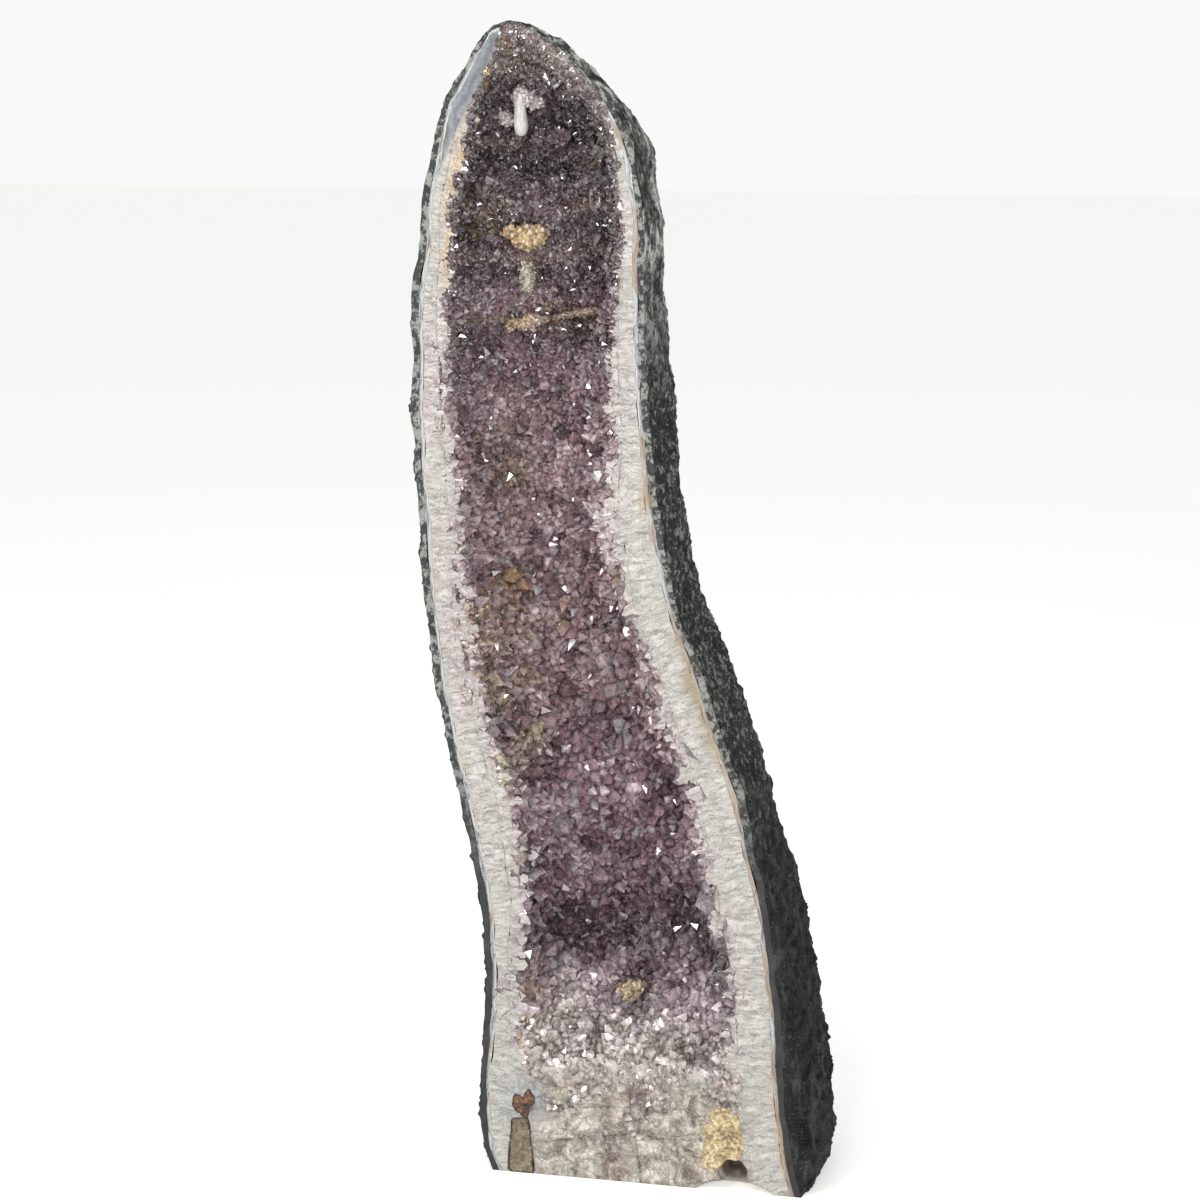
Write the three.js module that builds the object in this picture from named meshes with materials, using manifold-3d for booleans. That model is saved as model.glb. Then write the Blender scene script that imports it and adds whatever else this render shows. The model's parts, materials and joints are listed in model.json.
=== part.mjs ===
// A tall amethyst geode: a long hollow rock, sawn open down its front and cut off flat to stand.
// Millimetres, +Z up. The sawn face is the plane y = 0 and looks to -Y; the cut base is z = 0.
// From outside in: volcanic rind, thin chalcedony band, palisade quartz, amethyst crystal lining.
import * as THREE from 'three';
import { mergeVertices } from 'three/addons/utils/BufferGeometryUtils.js';
import Module from 'manifold-3d';

const wasm = await Module();
wasm.setup();

// Driving dimensions of the layers.
const seam = 0.35; // clearance between pieces that touch
const rindAtFace = 8; // rind thickness where the saw cuts it
const rindAtBack = 17; // rind thickness behind
const bandThickness = 5; // chalcedony between rind and quartz
const leastBand = 2; // and where it is thinnest
const liningThickness = 13; // druse thickness between the quartz and the crystal feet
const crystalRise = 13; // height of a crystal point above its neighbours' feet
const crystalPitch = 23; // spacing of the points and hollows of the lining
const skirt = 30; // how far cutting shapes run out past the sawn face and the base

// Roundness of the cross-sections, 1 for an ellipse and less for a boxier back.
const squareness = 0.78;
const flareRight = 0.3; // how much the right flank spreads behind the sawn face
const flareLeft = 0.1;

// Outside of the whole geode: height, left edge, right edge and depth behind the sawn face.
const skinStations = [
  [0, -158, 176, 204],
  [24, -170, 169, 208],
  [70, -172, 160, 212],
  [140, -166, 155, 220],
  [220, -160, 150, 225],
  [300, -165, 138, 222],
  [380, -183, 122, 214],
  [470, -203, 97, 205],
  [560, -219, 65, 195],
  [650, -228, 31, 186],
  [740, -232, 19, 178],
  [830, -236, 9, 168],
  [920, -234, 4, 158],
  [1000, -226, 5, 145],
  [1070, -214, 0, 128],
  [1125, -198, -26, 106],
  [1168, -178, -62, 78],
  [1196, -158, -97, 48],
  [1208, -132, -128, 4],
];

// Hollow inside the quartz: the same, and how steeply each level climbs towards the back.
const hollowStations = [
  [100, -98, 82, 96, 1.1],
  [132, -138, 110, 112, 1],
  [200, -143, 111, 125, 0.75],
  [280, -136, 94, 135, 0.5],
  [370, -141, 78, 138, 0.3],
  [460, -166, 58, 135, 0.15],
  [540, -186, 30, 130, 0.05],
  [630, -196, -5, 125, 0],
  [720, -201, -22, 120, 0],
  [800, -208, -13, 112, 0],
  [880, -211, -22, 105, 0],
  [960, -208, -15, 98, 0],
  [1030, -203, -14, 88, 0],
  [1085, -193, -28, 75, 0],
  [1130, -178, -50, 56, 0],
  [1158, -157, -74, 38, 0],
  [1176, -130, -97, 14, 0],
];

// Ledges of crystal across the back wall: height, reach, and thickness above and below the edge.
const ledges = [
  { height: 1080, reach: 22, above: 20, below: 10 },
  { height: 1022, reach: 18, above: 18, below: 9 },
  { height: 975, reach: 22, above: 20, below: 10 },
  { height: 905, reach: 20, above: 26, below: 11 },
];

// ---- Curves and solids ----

// Smooth curve of one column of a station table against its height.
function stationCurve(stations, index) {
  return new THREE.SplineCurve(stations.map((row) => new THREE.Vector2(row[index], row[0])));
}

// All the columns of a station table at t, from 0 at its bottom to 1 at its top.
function stationReader(stations) {
  const curves = stations[0].slice(1).map((value, index) => stationCurve(stations, index + 1));
  return (t) => {
    const points = curves.map((curve) => curve.getPoint(t));
    const [left, right, depth, tilt] = points.map((point) => point.x);
    return { height: points[0].y, left, right, depth, tilt: tilt ?? 0 };
  };
}

const skinLevel = stationReader(skinStations);
const hollowLevel = stationReader(hollowStations);

// The back of one level, from its right edge at the sawn face round to its left edge.
class Section extends THREE.Curve {
  constructor(level) {
    super();
    this.level = level;
  }

  getPoint(t) {
    const { height, left, right, depth, tilt } = this.level;
    const half = (right - left) / 2;
    const cosine = Math.cos(Math.PI * t);
    const across = Math.sign(cosine) * Math.abs(cosine) ** squareness;
    const behind = Math.max(Math.sin(Math.PI * t), 0) ** squareness;
    const flare = (flareRight * (1 + across) - flareLeft * (1 - across)) / 2;
    const y = depth * behind;
    return new THREE.Vector3((left + right) / 2 + half * (across + behind * flare), y, height + tilt * y);
  }
}

// Middle of a level, which its wall is drawn in towards.
function heartOf(level) {
  const y = level.depth * 0.4;
  return new THREE.Vector3((level.left + level.right) / 2, y, level.height + level.tilt * y);
}

// Closed skin over a stack of rings with the same number of points each.
function loft(rings, bottom, top, staggered = false) {
  const count = rings[0].length;
  const points = [bottom, ...rings.flat(), top];
  const at = (row, column) => 1 + row * count + (column % count);
  const faces = [];
  for (let column = 0; column < count; column += 1) {
    faces.push(0, at(0, column + 1), at(0, column));
    faces.push(points.length - 1, at(rings.length - 1, column), at(rings.length - 1, column + 1));
    for (let row = 0; row + 1 < rings.length; row += 1) {
      const [a, b] = [at(row, column), at(row, column + 1)];
      const [c, d] = [at(row + 1, column), at(row + 1, column + 1)];
      const leansBack = staggered && row % 2 === 1;
      faces.push(...(leansBack ? [a, b, d, a, d, c] : [a, b, c, b, d, c]));
    }
  }
  const geometry = new THREE.BufferGeometry().setFromPoints(points);
  geometry.setIndex(faces);
  return geometry;
}

// Plain indexed copy of a geometry, with its shared vertices joined.
function welded(geometry) {
  const copy = geometry.clone();
  copy.deleteAttribute('normal');
  copy.deleteAttribute('uv');
  return mergeVertices(copy);
}

// The same shape grown, or shrunk, by a distance along its normals.
function grown(geometry, distance) {
  const shape = welded(geometry);
  shape.computeVertexNormals();
  const { position, normal } = shape.attributes;
  for (let index = 0; index < position.count; index += 1) {
    const point = new THREE.Vector3().fromBufferAttribute(position, index);
    point.addScaledVector(new THREE.Vector3().fromBufferAttribute(normal, index), distance);
    position.setXYZ(index, point.x, point.y, point.z);
  }
  return shape;
}

function solidOf(geometry) {
  const shape = welded(geometry);
  return new wasm.Manifold(new wasm.Mesh({
    numProp: 3,
    vertProperties: new Float32Array(shape.attributes.position.array),
    triVerts: new Uint32Array(shape.index.array),
  }));
}

function geometryOf(solid) {
  const mesh = solid.getMesh();
  const geometry = new THREE.BufferGeometry();
  geometry.setAttribute('position', new THREE.BufferAttribute(new Float32Array(mesh.vertProperties), 3));
  geometry.setIndex(new THREE.BufferAttribute(new Uint32Array(mesh.triVerts), 1));
  return geometry;
}

const joined = (solids) => solids.reduce((sum, solid) => sum.add(solid));

// A solid and the slightly larger solid that makes room for it in its host.
function fitted(shapes) {
  return {
    solid: joined(shapes.map((shape) => solidOf(shape))),
    room: joined(shapes.map((shape) => solidOf(grown(shape, seam)))),
  };
}

// Everything behind the sawn face and above the base.
const keptSide = solidOf(new THREE.BoxGeometry(1000, 1000, 2000).translate(0, 500, 1000));

// ---- Shells of the geode ----

const skinRows = 16;
const skinColumns = 12;
const tipShare = 0.0045; // share of the station curve given up for each millimetre of cover at the tip

// Low, broad relief of the weathered outside.
function weathering(point) {
  const { x, y, z } = point;
  const broad = Math.sin(z * 0.021 + x * 0.013) * Math.cos(y * 0.027 + z * 0.008);
  const lumpy = Math.sin(x * 0.05 + 1.3) * Math.sin(z * 0.043 + y * 0.06);
  return 2.6 * broad + 1.9 * lumpy;
}

// A wall point moved straight in towards the middle of its level, never reaching it.
function movedIn(point, level, distance) {
  const way = heartOf(level).sub(point);
  const share = Math.min(distance / way.length(), 0.7);
  return point.clone().addScaledVector(way, share);
}

// The outer skin, drawn in by a depth that may change round the section.
function skinShape(depthAt) {
  const rings = [];
  const reach = 1 - tipShare * depthAt(0, 1);
  for (let row = 0; row <= skinRows; row += 1) {
    const t = (row / (skinRows + 0.4)) * reach;
    const level = skinLevel(t);
    const arc = new Section(level).getSpacedPoints(skinColumns);
    const ring = arc.map((point, index) => {
      const behind = Math.sin((Math.PI * index) / skinColumns);
      const relief = weathering(point) * Math.min(behind * 3, 1);
      return movedIn(point, level, depthAt(behind, t) - relief);
    });
    const last = ring[ring.length - 1];
    ring.push(new THREE.Vector3(last.x, -skirt, last.z), new THREE.Vector3(ring[0].x, -skirt, last.z));
    rings.push(ring);
  }
  const tip = skinLevel(reach);
  const crown = new THREE.Vector3((tip.left + tip.right) / 2, 0, tip.height);
  const foot = rings[0].map((point) => point.clone().setZ(-skirt));
  return loft([foot, ...rings], new THREE.Vector3(0, 40, -skirt), crown);
}

// Both outer layers thin out towards the tip.
const thinning = (t) => 1 - 0.35 * THREE.MathUtils.smoothstep(t, 0.7, 0.95);
const rindDepth = (behind, t) => THREE.MathUtils.lerp(rindAtFace, rindAtBack, behind ** 2) * thinning(t);
const swelling = (t) => 1 + 0.2 * Math.sin(t * 37);
const bandDepth = (behind, t) => rindDepth(behind, t) + bandThickness * thinning(t) * swelling(t);

const outsideShape = skinShape(() => 0);
const rindInside = skinShape(rindDepth);
const bandInside = skinShape(bandDepth);

const hollowRows = 14;
const hollowColumns = 12;

// The hollow that the crystal lining fills.
function hollowShape() {
  const rings = [];
  for (let row = 0; row <= hollowRows; row += 1) {
    const level = hollowLevel(row / (hollowRows + 0.3));
    const ring = new Section(level).getSpacedPoints(hollowColumns);
    const last = ring[ring.length - 1];
    const front = level.height - level.tilt * skirt;
    ring.push(new THREE.Vector3(last.x, -skirt, front), new THREE.Vector3(ring[0].x, -skirt, front));
    rings.push(ring);
  }
  const roof = hollowLevel(1);
  const crown = new THREE.Vector3((roof.left + roof.right) / 2, 0, roof.height + 2);
  return loft(rings, heartOf(hollowLevel(0)), crown);
}

// How far the ledges stand out from the back wall.
function ledgeReach(height, behind) {
  const reaches = ledges.map((ledge) => {
    const away = height - ledge.height;
    const spread = away > 0 ? ledge.above : ledge.below;
    return ledge.reach * Math.exp(-((away / spread) ** 2));
  });
  return Math.max(...reaches) * behind ** 2;
}

// Every third point of a triangular lattice is a crystal tip.
const isTip = (row, column) => (column + 2 * Math.floor(row / 2) + 2 * row) % 3 === 0;

// One staggered row of the lining, its ends running out past the sawn face.
function liningRow(level, row, columns, share) {
  const section = new Section(level);
  const ring = [];
  for (let column = -1; column <= columns + 1; column += 1) {
    const along = (column + (row % 2) / 2) / columns;
    const inside = THREE.MathUtils.clamp(along, 0, 1);
    const point = section.getPointAt(inside);
    point.y -= Math.abs(along - inside) * columns * crystalPitch;
    const behind = Math.sin(Math.PI * inside);
    const rise = isTip(row, column + 3) ? crystalRise * share : 0;
    ring.push(movedIn(point, level, liningThickness * share + rise + ledgeReach(point.z, behind) * share));
  }
  return ring;
}

// The open space inside the lining, walled with six-sided points.
function openSpace() {
  const rings = [];
  const columns = 13;
  const rows = 48;
  const floorEnd = 0.018;
  const roofEnd = 0.985;
  const floor = hollowLevel(floorEnd);
  const heart = heartOf(floor);
  heart.z += liningThickness;
  for (const share of [0.35, 0.7]) {
    const ring = liningRow(floor, rings.length, columns, 1);
    rings.push(ring.map((point) => heart.clone().lerp(point.setZ(point.z + liningThickness), share)));
  }
  for (let row = 0; row <= rows; row += 1) {
    const t = THREE.MathUtils.lerp(floorEnd, roofEnd, row / rows);
    const level = hollowLevel(t);
    level.height += liningThickness * (1 - t) - liningThickness * t * t;
    const share = Math.min(1, (level.right - level.left) / 90);
    rings.push(liningRow(level, rings.length, columns, share));
  }
  const roof = rings[rings.length - 1];
  const crown = roof.reduce((sum, point) => sum.add(point), new THREE.Vector3()).divideScalar(roof.length);
  crown.z += 4;
  return loft(rings, heart, crown, true);
}

// ---- Loose bits grown on the lining and in the base ----

// Rounded, uneven lump of mineral.
function lump(radii, place, detail = 0, phase = 0) {
  const shape = welded(new THREE.IcosahedronGeometry(1, detail));
  const position = shape.attributes.position;
  for (let index = 0; index < position.count; index += 1) {
    const point = new THREE.Vector3().fromBufferAttribute(position, index);
    const sideways = Math.sin(point.x * 4.1 + phase) * Math.sin(point.y * 3.7 + phase * 2);
    point.multiplyScalar(1 + 0.12 * sideways * Math.cos(point.z * 3.3));
    position.setXYZ(index, point.x, point.y, point.z);
  }
  return shape.scale(...radii).translate(...place);
}

// Six-sided pointed crystal from its foot along a direction.
function crystal(radius, length, foot, direction) {
  const shaft = length * 0.62;
  const profile = [[0, 0], [radius, 0], [radius * 0.92, shaft], [0, length]];
  const shape = new THREE.LatheGeometry(profile.map(([x, y]) => new THREE.Vector2(x, y)), 6);
  const turn = new THREE.Quaternion().setFromUnitVectors(
    new THREE.Vector3(0, 1, 0), new THREE.Vector3(...direction).normalize());
  return welded(shape).applyQuaternion(turn).translate(...foot);
}

// Flat patch let into the sawn face.
function sawnPatch(outline, thickness) {
  const shape = new THREE.Shape();
  shape.setFromPoints(outline.map(([x, z]) => new THREE.Vector2(x, z)));
  const block = new THREE.ExtrudeGeometry(shape, { depth: thickness, bevelEnabled: false });
  return block.rotateX(Math.PI / 2).translate(0, thickness, 0);
}


const lining = openSpace();
const liningMesh = new THREE.Mesh(lining, new THREE.MeshBasicMaterial({ side: THREE.DoubleSide }));

// Where a straight line from the open space meets the lining, sunk a little into the crystals.
function onLining(from, way, sunk) {
  const direction = new THREE.Vector3(...way).normalize();
  const [hit] = new THREE.Raycaster(new THREE.Vector3(...from), direction).intersectObject(liningMesh);
  return hit.point.addScaledVector(direction, sunk).toArray();
}

const onBack = (x, z, sunk) => onLining([x, 1, z], [0, 1, 0], sunk);
const onLeft = (y, z, sunk) => onLining([-120, y, z], [-1, 0, 0], sunk);
const beside = ([x, y, z], right, back, up) => [x + right, y + back, z + up];

// White calcite spear hanging from a knot of blunt crystals under the roof.
function calciteSpear() {
  const root = onBack(-127, 1136, -1);
  return fitted([
    crystal(6.5, 42, root, [0.02, -0.1, -1]),
    lump([11, 10, 9], beside(root, 12, 1, -5)),
    lump([9, 9, 8], beside(root, 23, 3, -10), 0, 2),
    lump([9, 9, 8], root, 0, 1),
  ]);
}

// Two pale balls grown into one another.
function paleBalls() {
  const place = onBack(-144, 1112, -1);
  return fitted([
    lump([9, 9, 9], place),
    lump([8, 8, 8], beside(place, -9, 1, 6), 0, 1.5),
  ]);
}

// Rounded quartz knob in the dark hollow under the roof.
function darkKnob(x, z, radius, phase) {
  return fitted([lump([radius, radius, radius], onBack(x, z, -3), 1, phase)]);
}

// Honey-coloured calcite lump with a cream shoulder.
function goldenCalcite() {
  return fitted([
    lump([17, 15, 13], onBack(-128, 992, -2), 1, 0.4),
    lump([12, 13, 11], onBack(-147, 996, -2), 0, 2.2),
    lump([9, 10, 9], onBack(-114, 997, 0), 0, 3.1),
  ]);
}

// Pale green drop of calcite hanging below the golden one.
function calciteDrop() {
  const half = [[0, -23], [4, -20], [7.5, -12], [8, -2], [6.5, 9], [7, 18], [0, 23]];
  const drop = new THREE.LatheGeometry(half.map(([x, y]) => new THREE.Vector2(x, y)), 9);
  return fitted([welded(drop).rotateX(Math.PI / 2).translate(...onBack(-131, 948, -3))]);
}

// Cream calcite crusting the lowest of the upper ledges.
function creamCalcite() {
  const spots = [[-142, 16, 10], [-120, 18, 11], [-94, 20, 9], [-68, 18, 8]];
  const height = ledges[3].height + 4;
  return fitted(spots.map(([x, wide, tall], index) => (
    lump([wide, 13, tall], onBack(x, height, 1), 0, index * 1.7))));
}

// Row of golden calcite lumps down the upper left edge of the hollow.
function edgeCalcite() {
  const spots = [[1108, 9], [1086, 10], [1062, 10], [1038, 9]];
  return fitted(spots.map(([z, size], index) => (
    lump([size, 11, size * 2], onLeft(17, z, -1), 0, index * 0.4))));
}

// Golden calcite patch in the roof at the upper left.
function crownCalcite() {
  const place = onLining([-130, 17, 1110], [-0.35, 0, 1], -2);
  return fitted([
    lump([11, 9, 9], place, 0, 0.7),
    lump([9, 9, 8], beside(place, 10, 2, 6), 0, 2),
  ]);
}

// Tuft of yellowish pointed calcite standing on the floor of the hollow.
function floorCalcite() {
  const foot = onLining([-20, 62, 300], [0, 0, -1], 2);
  const ways = [[0, -0.3, 1], [-0.7, -0.3, 1], [0.7, -0.4, 0.9], [0.2, -1, 0.7], [-0.4, 0.5, 1]];
  const points = ways.map((way, index) => crystal(7 + (index % 3), 27 - 2 * index, foot, way));
  return fitted([...points, lump([15, 13, 10], foot)]);
}

// Yellow calcite cut through by the saw at the right of the base.
function baseCalcite() {
  const leftSide = [[91, 98], [85, 88], [76, 60], [69, 34], [74, 20]];
  const rightSide = [[111, 40], [115, 52], [108, 78], [100, 98]];
  return fitted([sawnPatch([...leftSide, ...rightSide], 18)]);
}

// Grey bead lying grown in the broken pocket at the front of the base.
const pocketBead = () => fitted([lump([10, 10, 9], [104, 17, 25], 1)]);

// Tan-brown filling cut through by the saw at the left of the base.
function brownPlug() {
  const outline = [[-142, -5], [-141, 30], [-137, 62], [-117, 64], [-113, 30], [-111, -5]];
  return fitted([sawnPatch(outline, 16)]);
}

// Rusty nodules above the brown filling.
function rustNodules() {
  const spots = [[-129, 79, 8], [-118, 83, 7], [-121, 73, 6]];
  return fitted(spots.map(([x, z, size], index) => lump([size, 11, size], [x, 3, z], 0, index)));
}

// Broken-out edge under the sawn face, with a pocket above it.
function brokenEdge() {
  return joined([
    solidOf(lump([44, 30, 13], [106, 0, 0], 1, 1)),
    solidOf(lump([17, 22, 14], [105, 2, 23], 1, 2)),
  ]);
}

// ---- The layers cut to fit and the finished group ----

const broken = brokenEdge();
const bits = {
  calcite_spear: calciteSpear(),
  pale_balls: paleBalls(),
  left_dark_knob: darkKnob(-111, 1093, 8, 0.5),
  right_dark_knob: darkKnob(-90, 1094, 9, 2.5),
  golden_calcite: goldenCalcite(),
  calcite_drop: calciteDrop(),
  cream_calcite: creamCalcite(),
  edge_calcite: edgeCalcite(),
  crown_calcite: crownCalcite(),
  floor_calcite: floorCalcite(),
  base_calcite: baseCalcite(),
  pocket_bead: pocketBead(),
  brown_plug: brownPlug(),
  rust_nodules: rustNodules(),
};

const bitsRoom = joined(Object.values(bits).map((bit) => bit.room));

function layers() {
  const outside = solidOf(outsideShape);
  const hollow = hollowShape();
  const rind = outside.subtract(solidOf(rindInside));
  const bandHole = solidOf(bandInside).intersect(solidOf(grown(rindInside, -leastBand)));
  const band = solidOf(grown(rindInside, -seam)).subtract(bandHole);
  const quartzLimit = solidOf(grown(rindInside, -leastBand - seam));
  const quartzCore = solidOf(grown(bandInside, -seam)).intersect(quartzLimit);
  const quartz = quartzCore.subtract(solidOf(hollow)).subtract(broken);
  const druse = solidOf(grown(hollow, -seam)).subtract(solidOf(lining));
  return {
    basalt_rind: rind,
    chalcedony_band: band,
    quartz_wall: quartz.subtract(bitsRoom),
    amethyst_druse: druse.subtract(bitsRoom),
  };
}

const finishes = {
  basalt_rind: { color: 0x4a4a49, roughness: 0.85 },
  chalcedony_band: { color: 0x9fa6ac, roughness: 0.35 },
  quartz_wall: { color: 0xc6c1bb, roughness: 0.3 },
  amethyst_druse: { color: 0x7a5f86, roughness: 0.2 },
  calcite_spear: { color: 0xe4dccf, roughness: 0.35 },
  pale_balls: { color: 0xc9bfb4, roughness: 0.4 },
  left_dark_knob: { color: 0x584a5c, roughness: 0.3 },
  right_dark_knob: { color: 0x5a4a5e, roughness: 0.3 },
  golden_calcite: { color: 0xc2a780, roughness: 0.4 },
  calcite_drop: { color: 0xb9bfa6, roughness: 0.3 },
  cream_calcite: { color: 0xcdbfa4, roughness: 0.5 },
  edge_calcite: { color: 0xc9ab76, roughness: 0.45 },
  crown_calcite: { color: 0xcaa768, roughness: 0.45 },
  floor_calcite: { color: 0xcbb98f, roughness: 0.4 },
  base_calcite: { color: 0xc3b389, roughness: 0.4 },
  pocket_bead: { color: 0x8d8c8a, roughness: 0.3 },
  brown_plug: { color: 0x84796a, roughness: 0.7 },
  rust_nodules: { color: 0x67563f, roughness: 0.8 },
};

const cut = layers();
for (const [name, bit] of Object.entries(bits)) {
  cut[name] = bit.solid.subtract(broken);
}

const geode = new THREE.Group();
for (const [name, solid] of Object.entries(cut)) {
  const material = new THREE.MeshStandardMaterial({ ...finishes[name], metalness: 0 });
  const mesh = new THREE.Mesh(geometryOf(solid.intersect(keptSide)), material);
  mesh.name = name;
  geode.add(mesh);
}

// The origin is the middle of the base.
const box = new THREE.Box3().setFromObject(geode);
const centre = box.getCenter(new THREE.Vector3());
geode.position.set(-centre.x, -centre.y, -box.min.z);

export default geode;
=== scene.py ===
import json
import math

import bpy
import numpy as np
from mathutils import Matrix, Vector
from mathutils.bvhtree import BVHTree
from mathutils.kdtree import KDTree

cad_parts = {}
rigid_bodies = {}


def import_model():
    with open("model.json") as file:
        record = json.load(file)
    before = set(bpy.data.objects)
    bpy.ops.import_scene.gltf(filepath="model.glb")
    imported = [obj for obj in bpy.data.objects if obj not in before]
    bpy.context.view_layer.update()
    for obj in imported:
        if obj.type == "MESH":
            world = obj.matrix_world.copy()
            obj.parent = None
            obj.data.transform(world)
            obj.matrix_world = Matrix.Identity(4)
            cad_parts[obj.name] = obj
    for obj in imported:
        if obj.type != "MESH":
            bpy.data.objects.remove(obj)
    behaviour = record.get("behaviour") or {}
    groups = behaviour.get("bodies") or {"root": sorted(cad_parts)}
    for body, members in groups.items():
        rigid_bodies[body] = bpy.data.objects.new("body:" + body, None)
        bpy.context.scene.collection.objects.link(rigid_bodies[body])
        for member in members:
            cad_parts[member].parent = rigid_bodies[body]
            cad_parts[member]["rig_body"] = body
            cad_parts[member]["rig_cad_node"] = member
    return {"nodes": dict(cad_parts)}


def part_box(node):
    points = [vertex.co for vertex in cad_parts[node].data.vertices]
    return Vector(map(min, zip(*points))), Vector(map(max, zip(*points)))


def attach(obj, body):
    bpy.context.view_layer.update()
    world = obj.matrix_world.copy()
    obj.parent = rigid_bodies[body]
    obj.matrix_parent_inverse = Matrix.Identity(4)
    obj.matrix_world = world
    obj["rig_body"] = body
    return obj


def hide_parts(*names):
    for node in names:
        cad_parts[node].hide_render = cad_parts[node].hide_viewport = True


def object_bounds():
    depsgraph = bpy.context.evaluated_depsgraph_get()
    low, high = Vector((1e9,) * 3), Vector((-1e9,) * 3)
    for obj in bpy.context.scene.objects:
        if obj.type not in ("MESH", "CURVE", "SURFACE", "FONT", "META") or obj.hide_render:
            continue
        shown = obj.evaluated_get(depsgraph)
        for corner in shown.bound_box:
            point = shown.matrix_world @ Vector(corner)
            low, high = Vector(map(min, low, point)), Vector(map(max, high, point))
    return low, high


# A tall amethyst geode, sawn open down its front. Metres, +Z up, the sawn face looks to -Y.
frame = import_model()
cadLow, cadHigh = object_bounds()
sawY = cadLow.y  # the plane of the sawn face

outsideFace, sawnFace, cutBase, hiddenFace = range(4)  # material slots of every layer


def onlySelect(piece):
    if bpy.context.object and bpy.context.object.mode != "OBJECT":
        bpy.ops.object.mode_set(mode="OBJECT")
    bpy.ops.object.select_all(action="DESELECT")
    piece.hide_set(False)
    piece.select_set(True)
    bpy.context.view_layer.objects.active = piece


def editAll():
    bpy.ops.object.mode_set(mode="EDIT")
    bpy.ops.mesh.select_all(action="SELECT")


def stopEditing():
    bpy.ops.object.mode_set(mode="OBJECT")


def nodeCopy(node, name):
    piece = frame["nodes"][node].copy()
    piece.data = piece.data.copy()
    piece.name = piece.data.name = name
    piece.parent = None
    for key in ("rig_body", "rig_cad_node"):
        del piece[key]
    bpy.context.scene.collection.objects.link(piece)
    onlySelect(piece)
    bpy.ops.mesh.customdata_custom_splitnormals_clear()
    editAll()
    bpy.ops.mesh.remove_doubles(threshold=0.00002)
    bpy.ops.mesh.faces_shade_smooth()
    stopEditing()
    piece.data.materials.clear()
    return piece


def numbersOf(items, key, kind=np.int32, width=1):
    found = np.empty(len(items) * width, kind)
    items.foreach_get(key, found)
    return found.reshape(-1, width) if width > 1 else found


def pointsOf(mesh):
    return numbersOf(mesh.vertices, "co", np.float32, 3).astype(float)


def normalsOf(mesh):
    return numbersOf(mesh.vertex_normals, "vector", np.float32, 3).astype(float)


def cornerSlots(mesh):  # the material slot that each face corner lies in
    return np.repeat(numbersOf(mesh.polygons, "material_index"), numbersOf(mesh.polygons, "loop_total"))


def movePoints(mesh, points):
    mesh.vertices.foreach_set("co", np.asarray(points, np.float32).ravel())
    mesh.update()


def keepNumbers(mesh, name, kind, values):
    layer = mesh.attributes.new(name, kind, "POINT")
    key = {"FLOAT": "value", "FLOAT_VECTOR": "vector", "FLOAT_COLOR": "color"}[kind]
    layer.data.foreach_set(key, np.asarray(values, np.float32).ravel())


def firstCorners(counts):
    return np.concatenate([[0], np.cumsum(counts)[:-1]])


def joinMesh(name, points, corners, counts, slots):
    mesh = bpy.data.meshes.new(name)
    mesh.vertices.add(len(points))
    mesh.vertices.foreach_set("co", np.asarray(points, np.float32).ravel())
    mesh.loops.add(len(corners))
    mesh.polygons.add(len(counts))
    mesh.polygons.foreach_set("loop_start", firstCorners(counts).astype(np.int32))
    mesh.polygons.foreach_set("vertices", corners.astype(np.int32))
    mesh.polygons.foreach_set("material_index", slots.astype(np.int32))
    mesh.update(calc_edges=True)
    mesh.shade_flat()
    piece = bpy.data.objects.new(name, mesh)
    bpy.context.scene.collection.objects.link(piece)
    return piece


def cover(piece, *finishes):
    for finish in finishes:
        piece.data.materials.append(finish)


def settle(piece, slotName, *nodes):
    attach(piece, "root")
    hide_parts(*nodes)


def waves(points, seed, lengths, strengths):  # a smooth field of crossed sine waves, about -1 to 1 each
    dice = np.random.default_rng(seed)
    total = np.zeros(len(points))
    for length, strength in zip(lengths, strengths):
        for _ in range(5):
            way = dice.normal(size=3)
            way /= np.linalg.norm(way)
            start = dice.uniform(0, 6.3)
            total += strength * 0.45 * np.sin(points @ way * 2 * math.pi / length + start)
    return total


def treeOf(node):
    mesh = frame["nodes"][node].data
    return BVHTree.FromPolygons([v.co for v in mesh.vertices], [p.vertices for p in mesh.polygons])


def treeOfPoints(points):
    tree = KDTree(len(points))
    for index, point in enumerate(points):
        tree.insert(point, index)
    tree.balance()
    return tree


def measureFrom(tree, points):  # the nearest point of an edge, and how far off it is
    feet = np.zeros((len(points), 3))
    away = np.zeros(len(points))
    for index, point in enumerate(points):
        feet[index], _, away[index] = tree.find(point)
    return feet, away


def offFrom(points, across, up, wide, tall):  # how far off a place, 1 on the oval around it
    return np.hypot((points[:, 0] - across) / wide, (points[:, 2] - up) / tall)


class Wire:  # a socket that adds and multiplies
    def __init__(self, recipe, socket):
        self.recipe, self.socket = recipe, socket

    def maths(self, operation, other):
        return self.recipe.node("ShaderNodeMath", {"operation": operation}, {0: self, 1: other})

    def __add__(self, other):
        return self.maths("ADD", other)

    def __sub__(self, other):
        return self.maths("SUBTRACT", other)

    def __mul__(self, other):
        return self.maths("MULTIPLY", other)

    __radd__, __rmul__ = __add__, __mul__


def paint(*rgb):  # a colour as mixed on a screen, 0 to 255
    parts = [part / 255 for part in rgb]
    return (*[((part + 0.055) / 1.055) ** 2.4 if part > 0.0404 else part / 12.92 for part in parts], 1)


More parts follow.
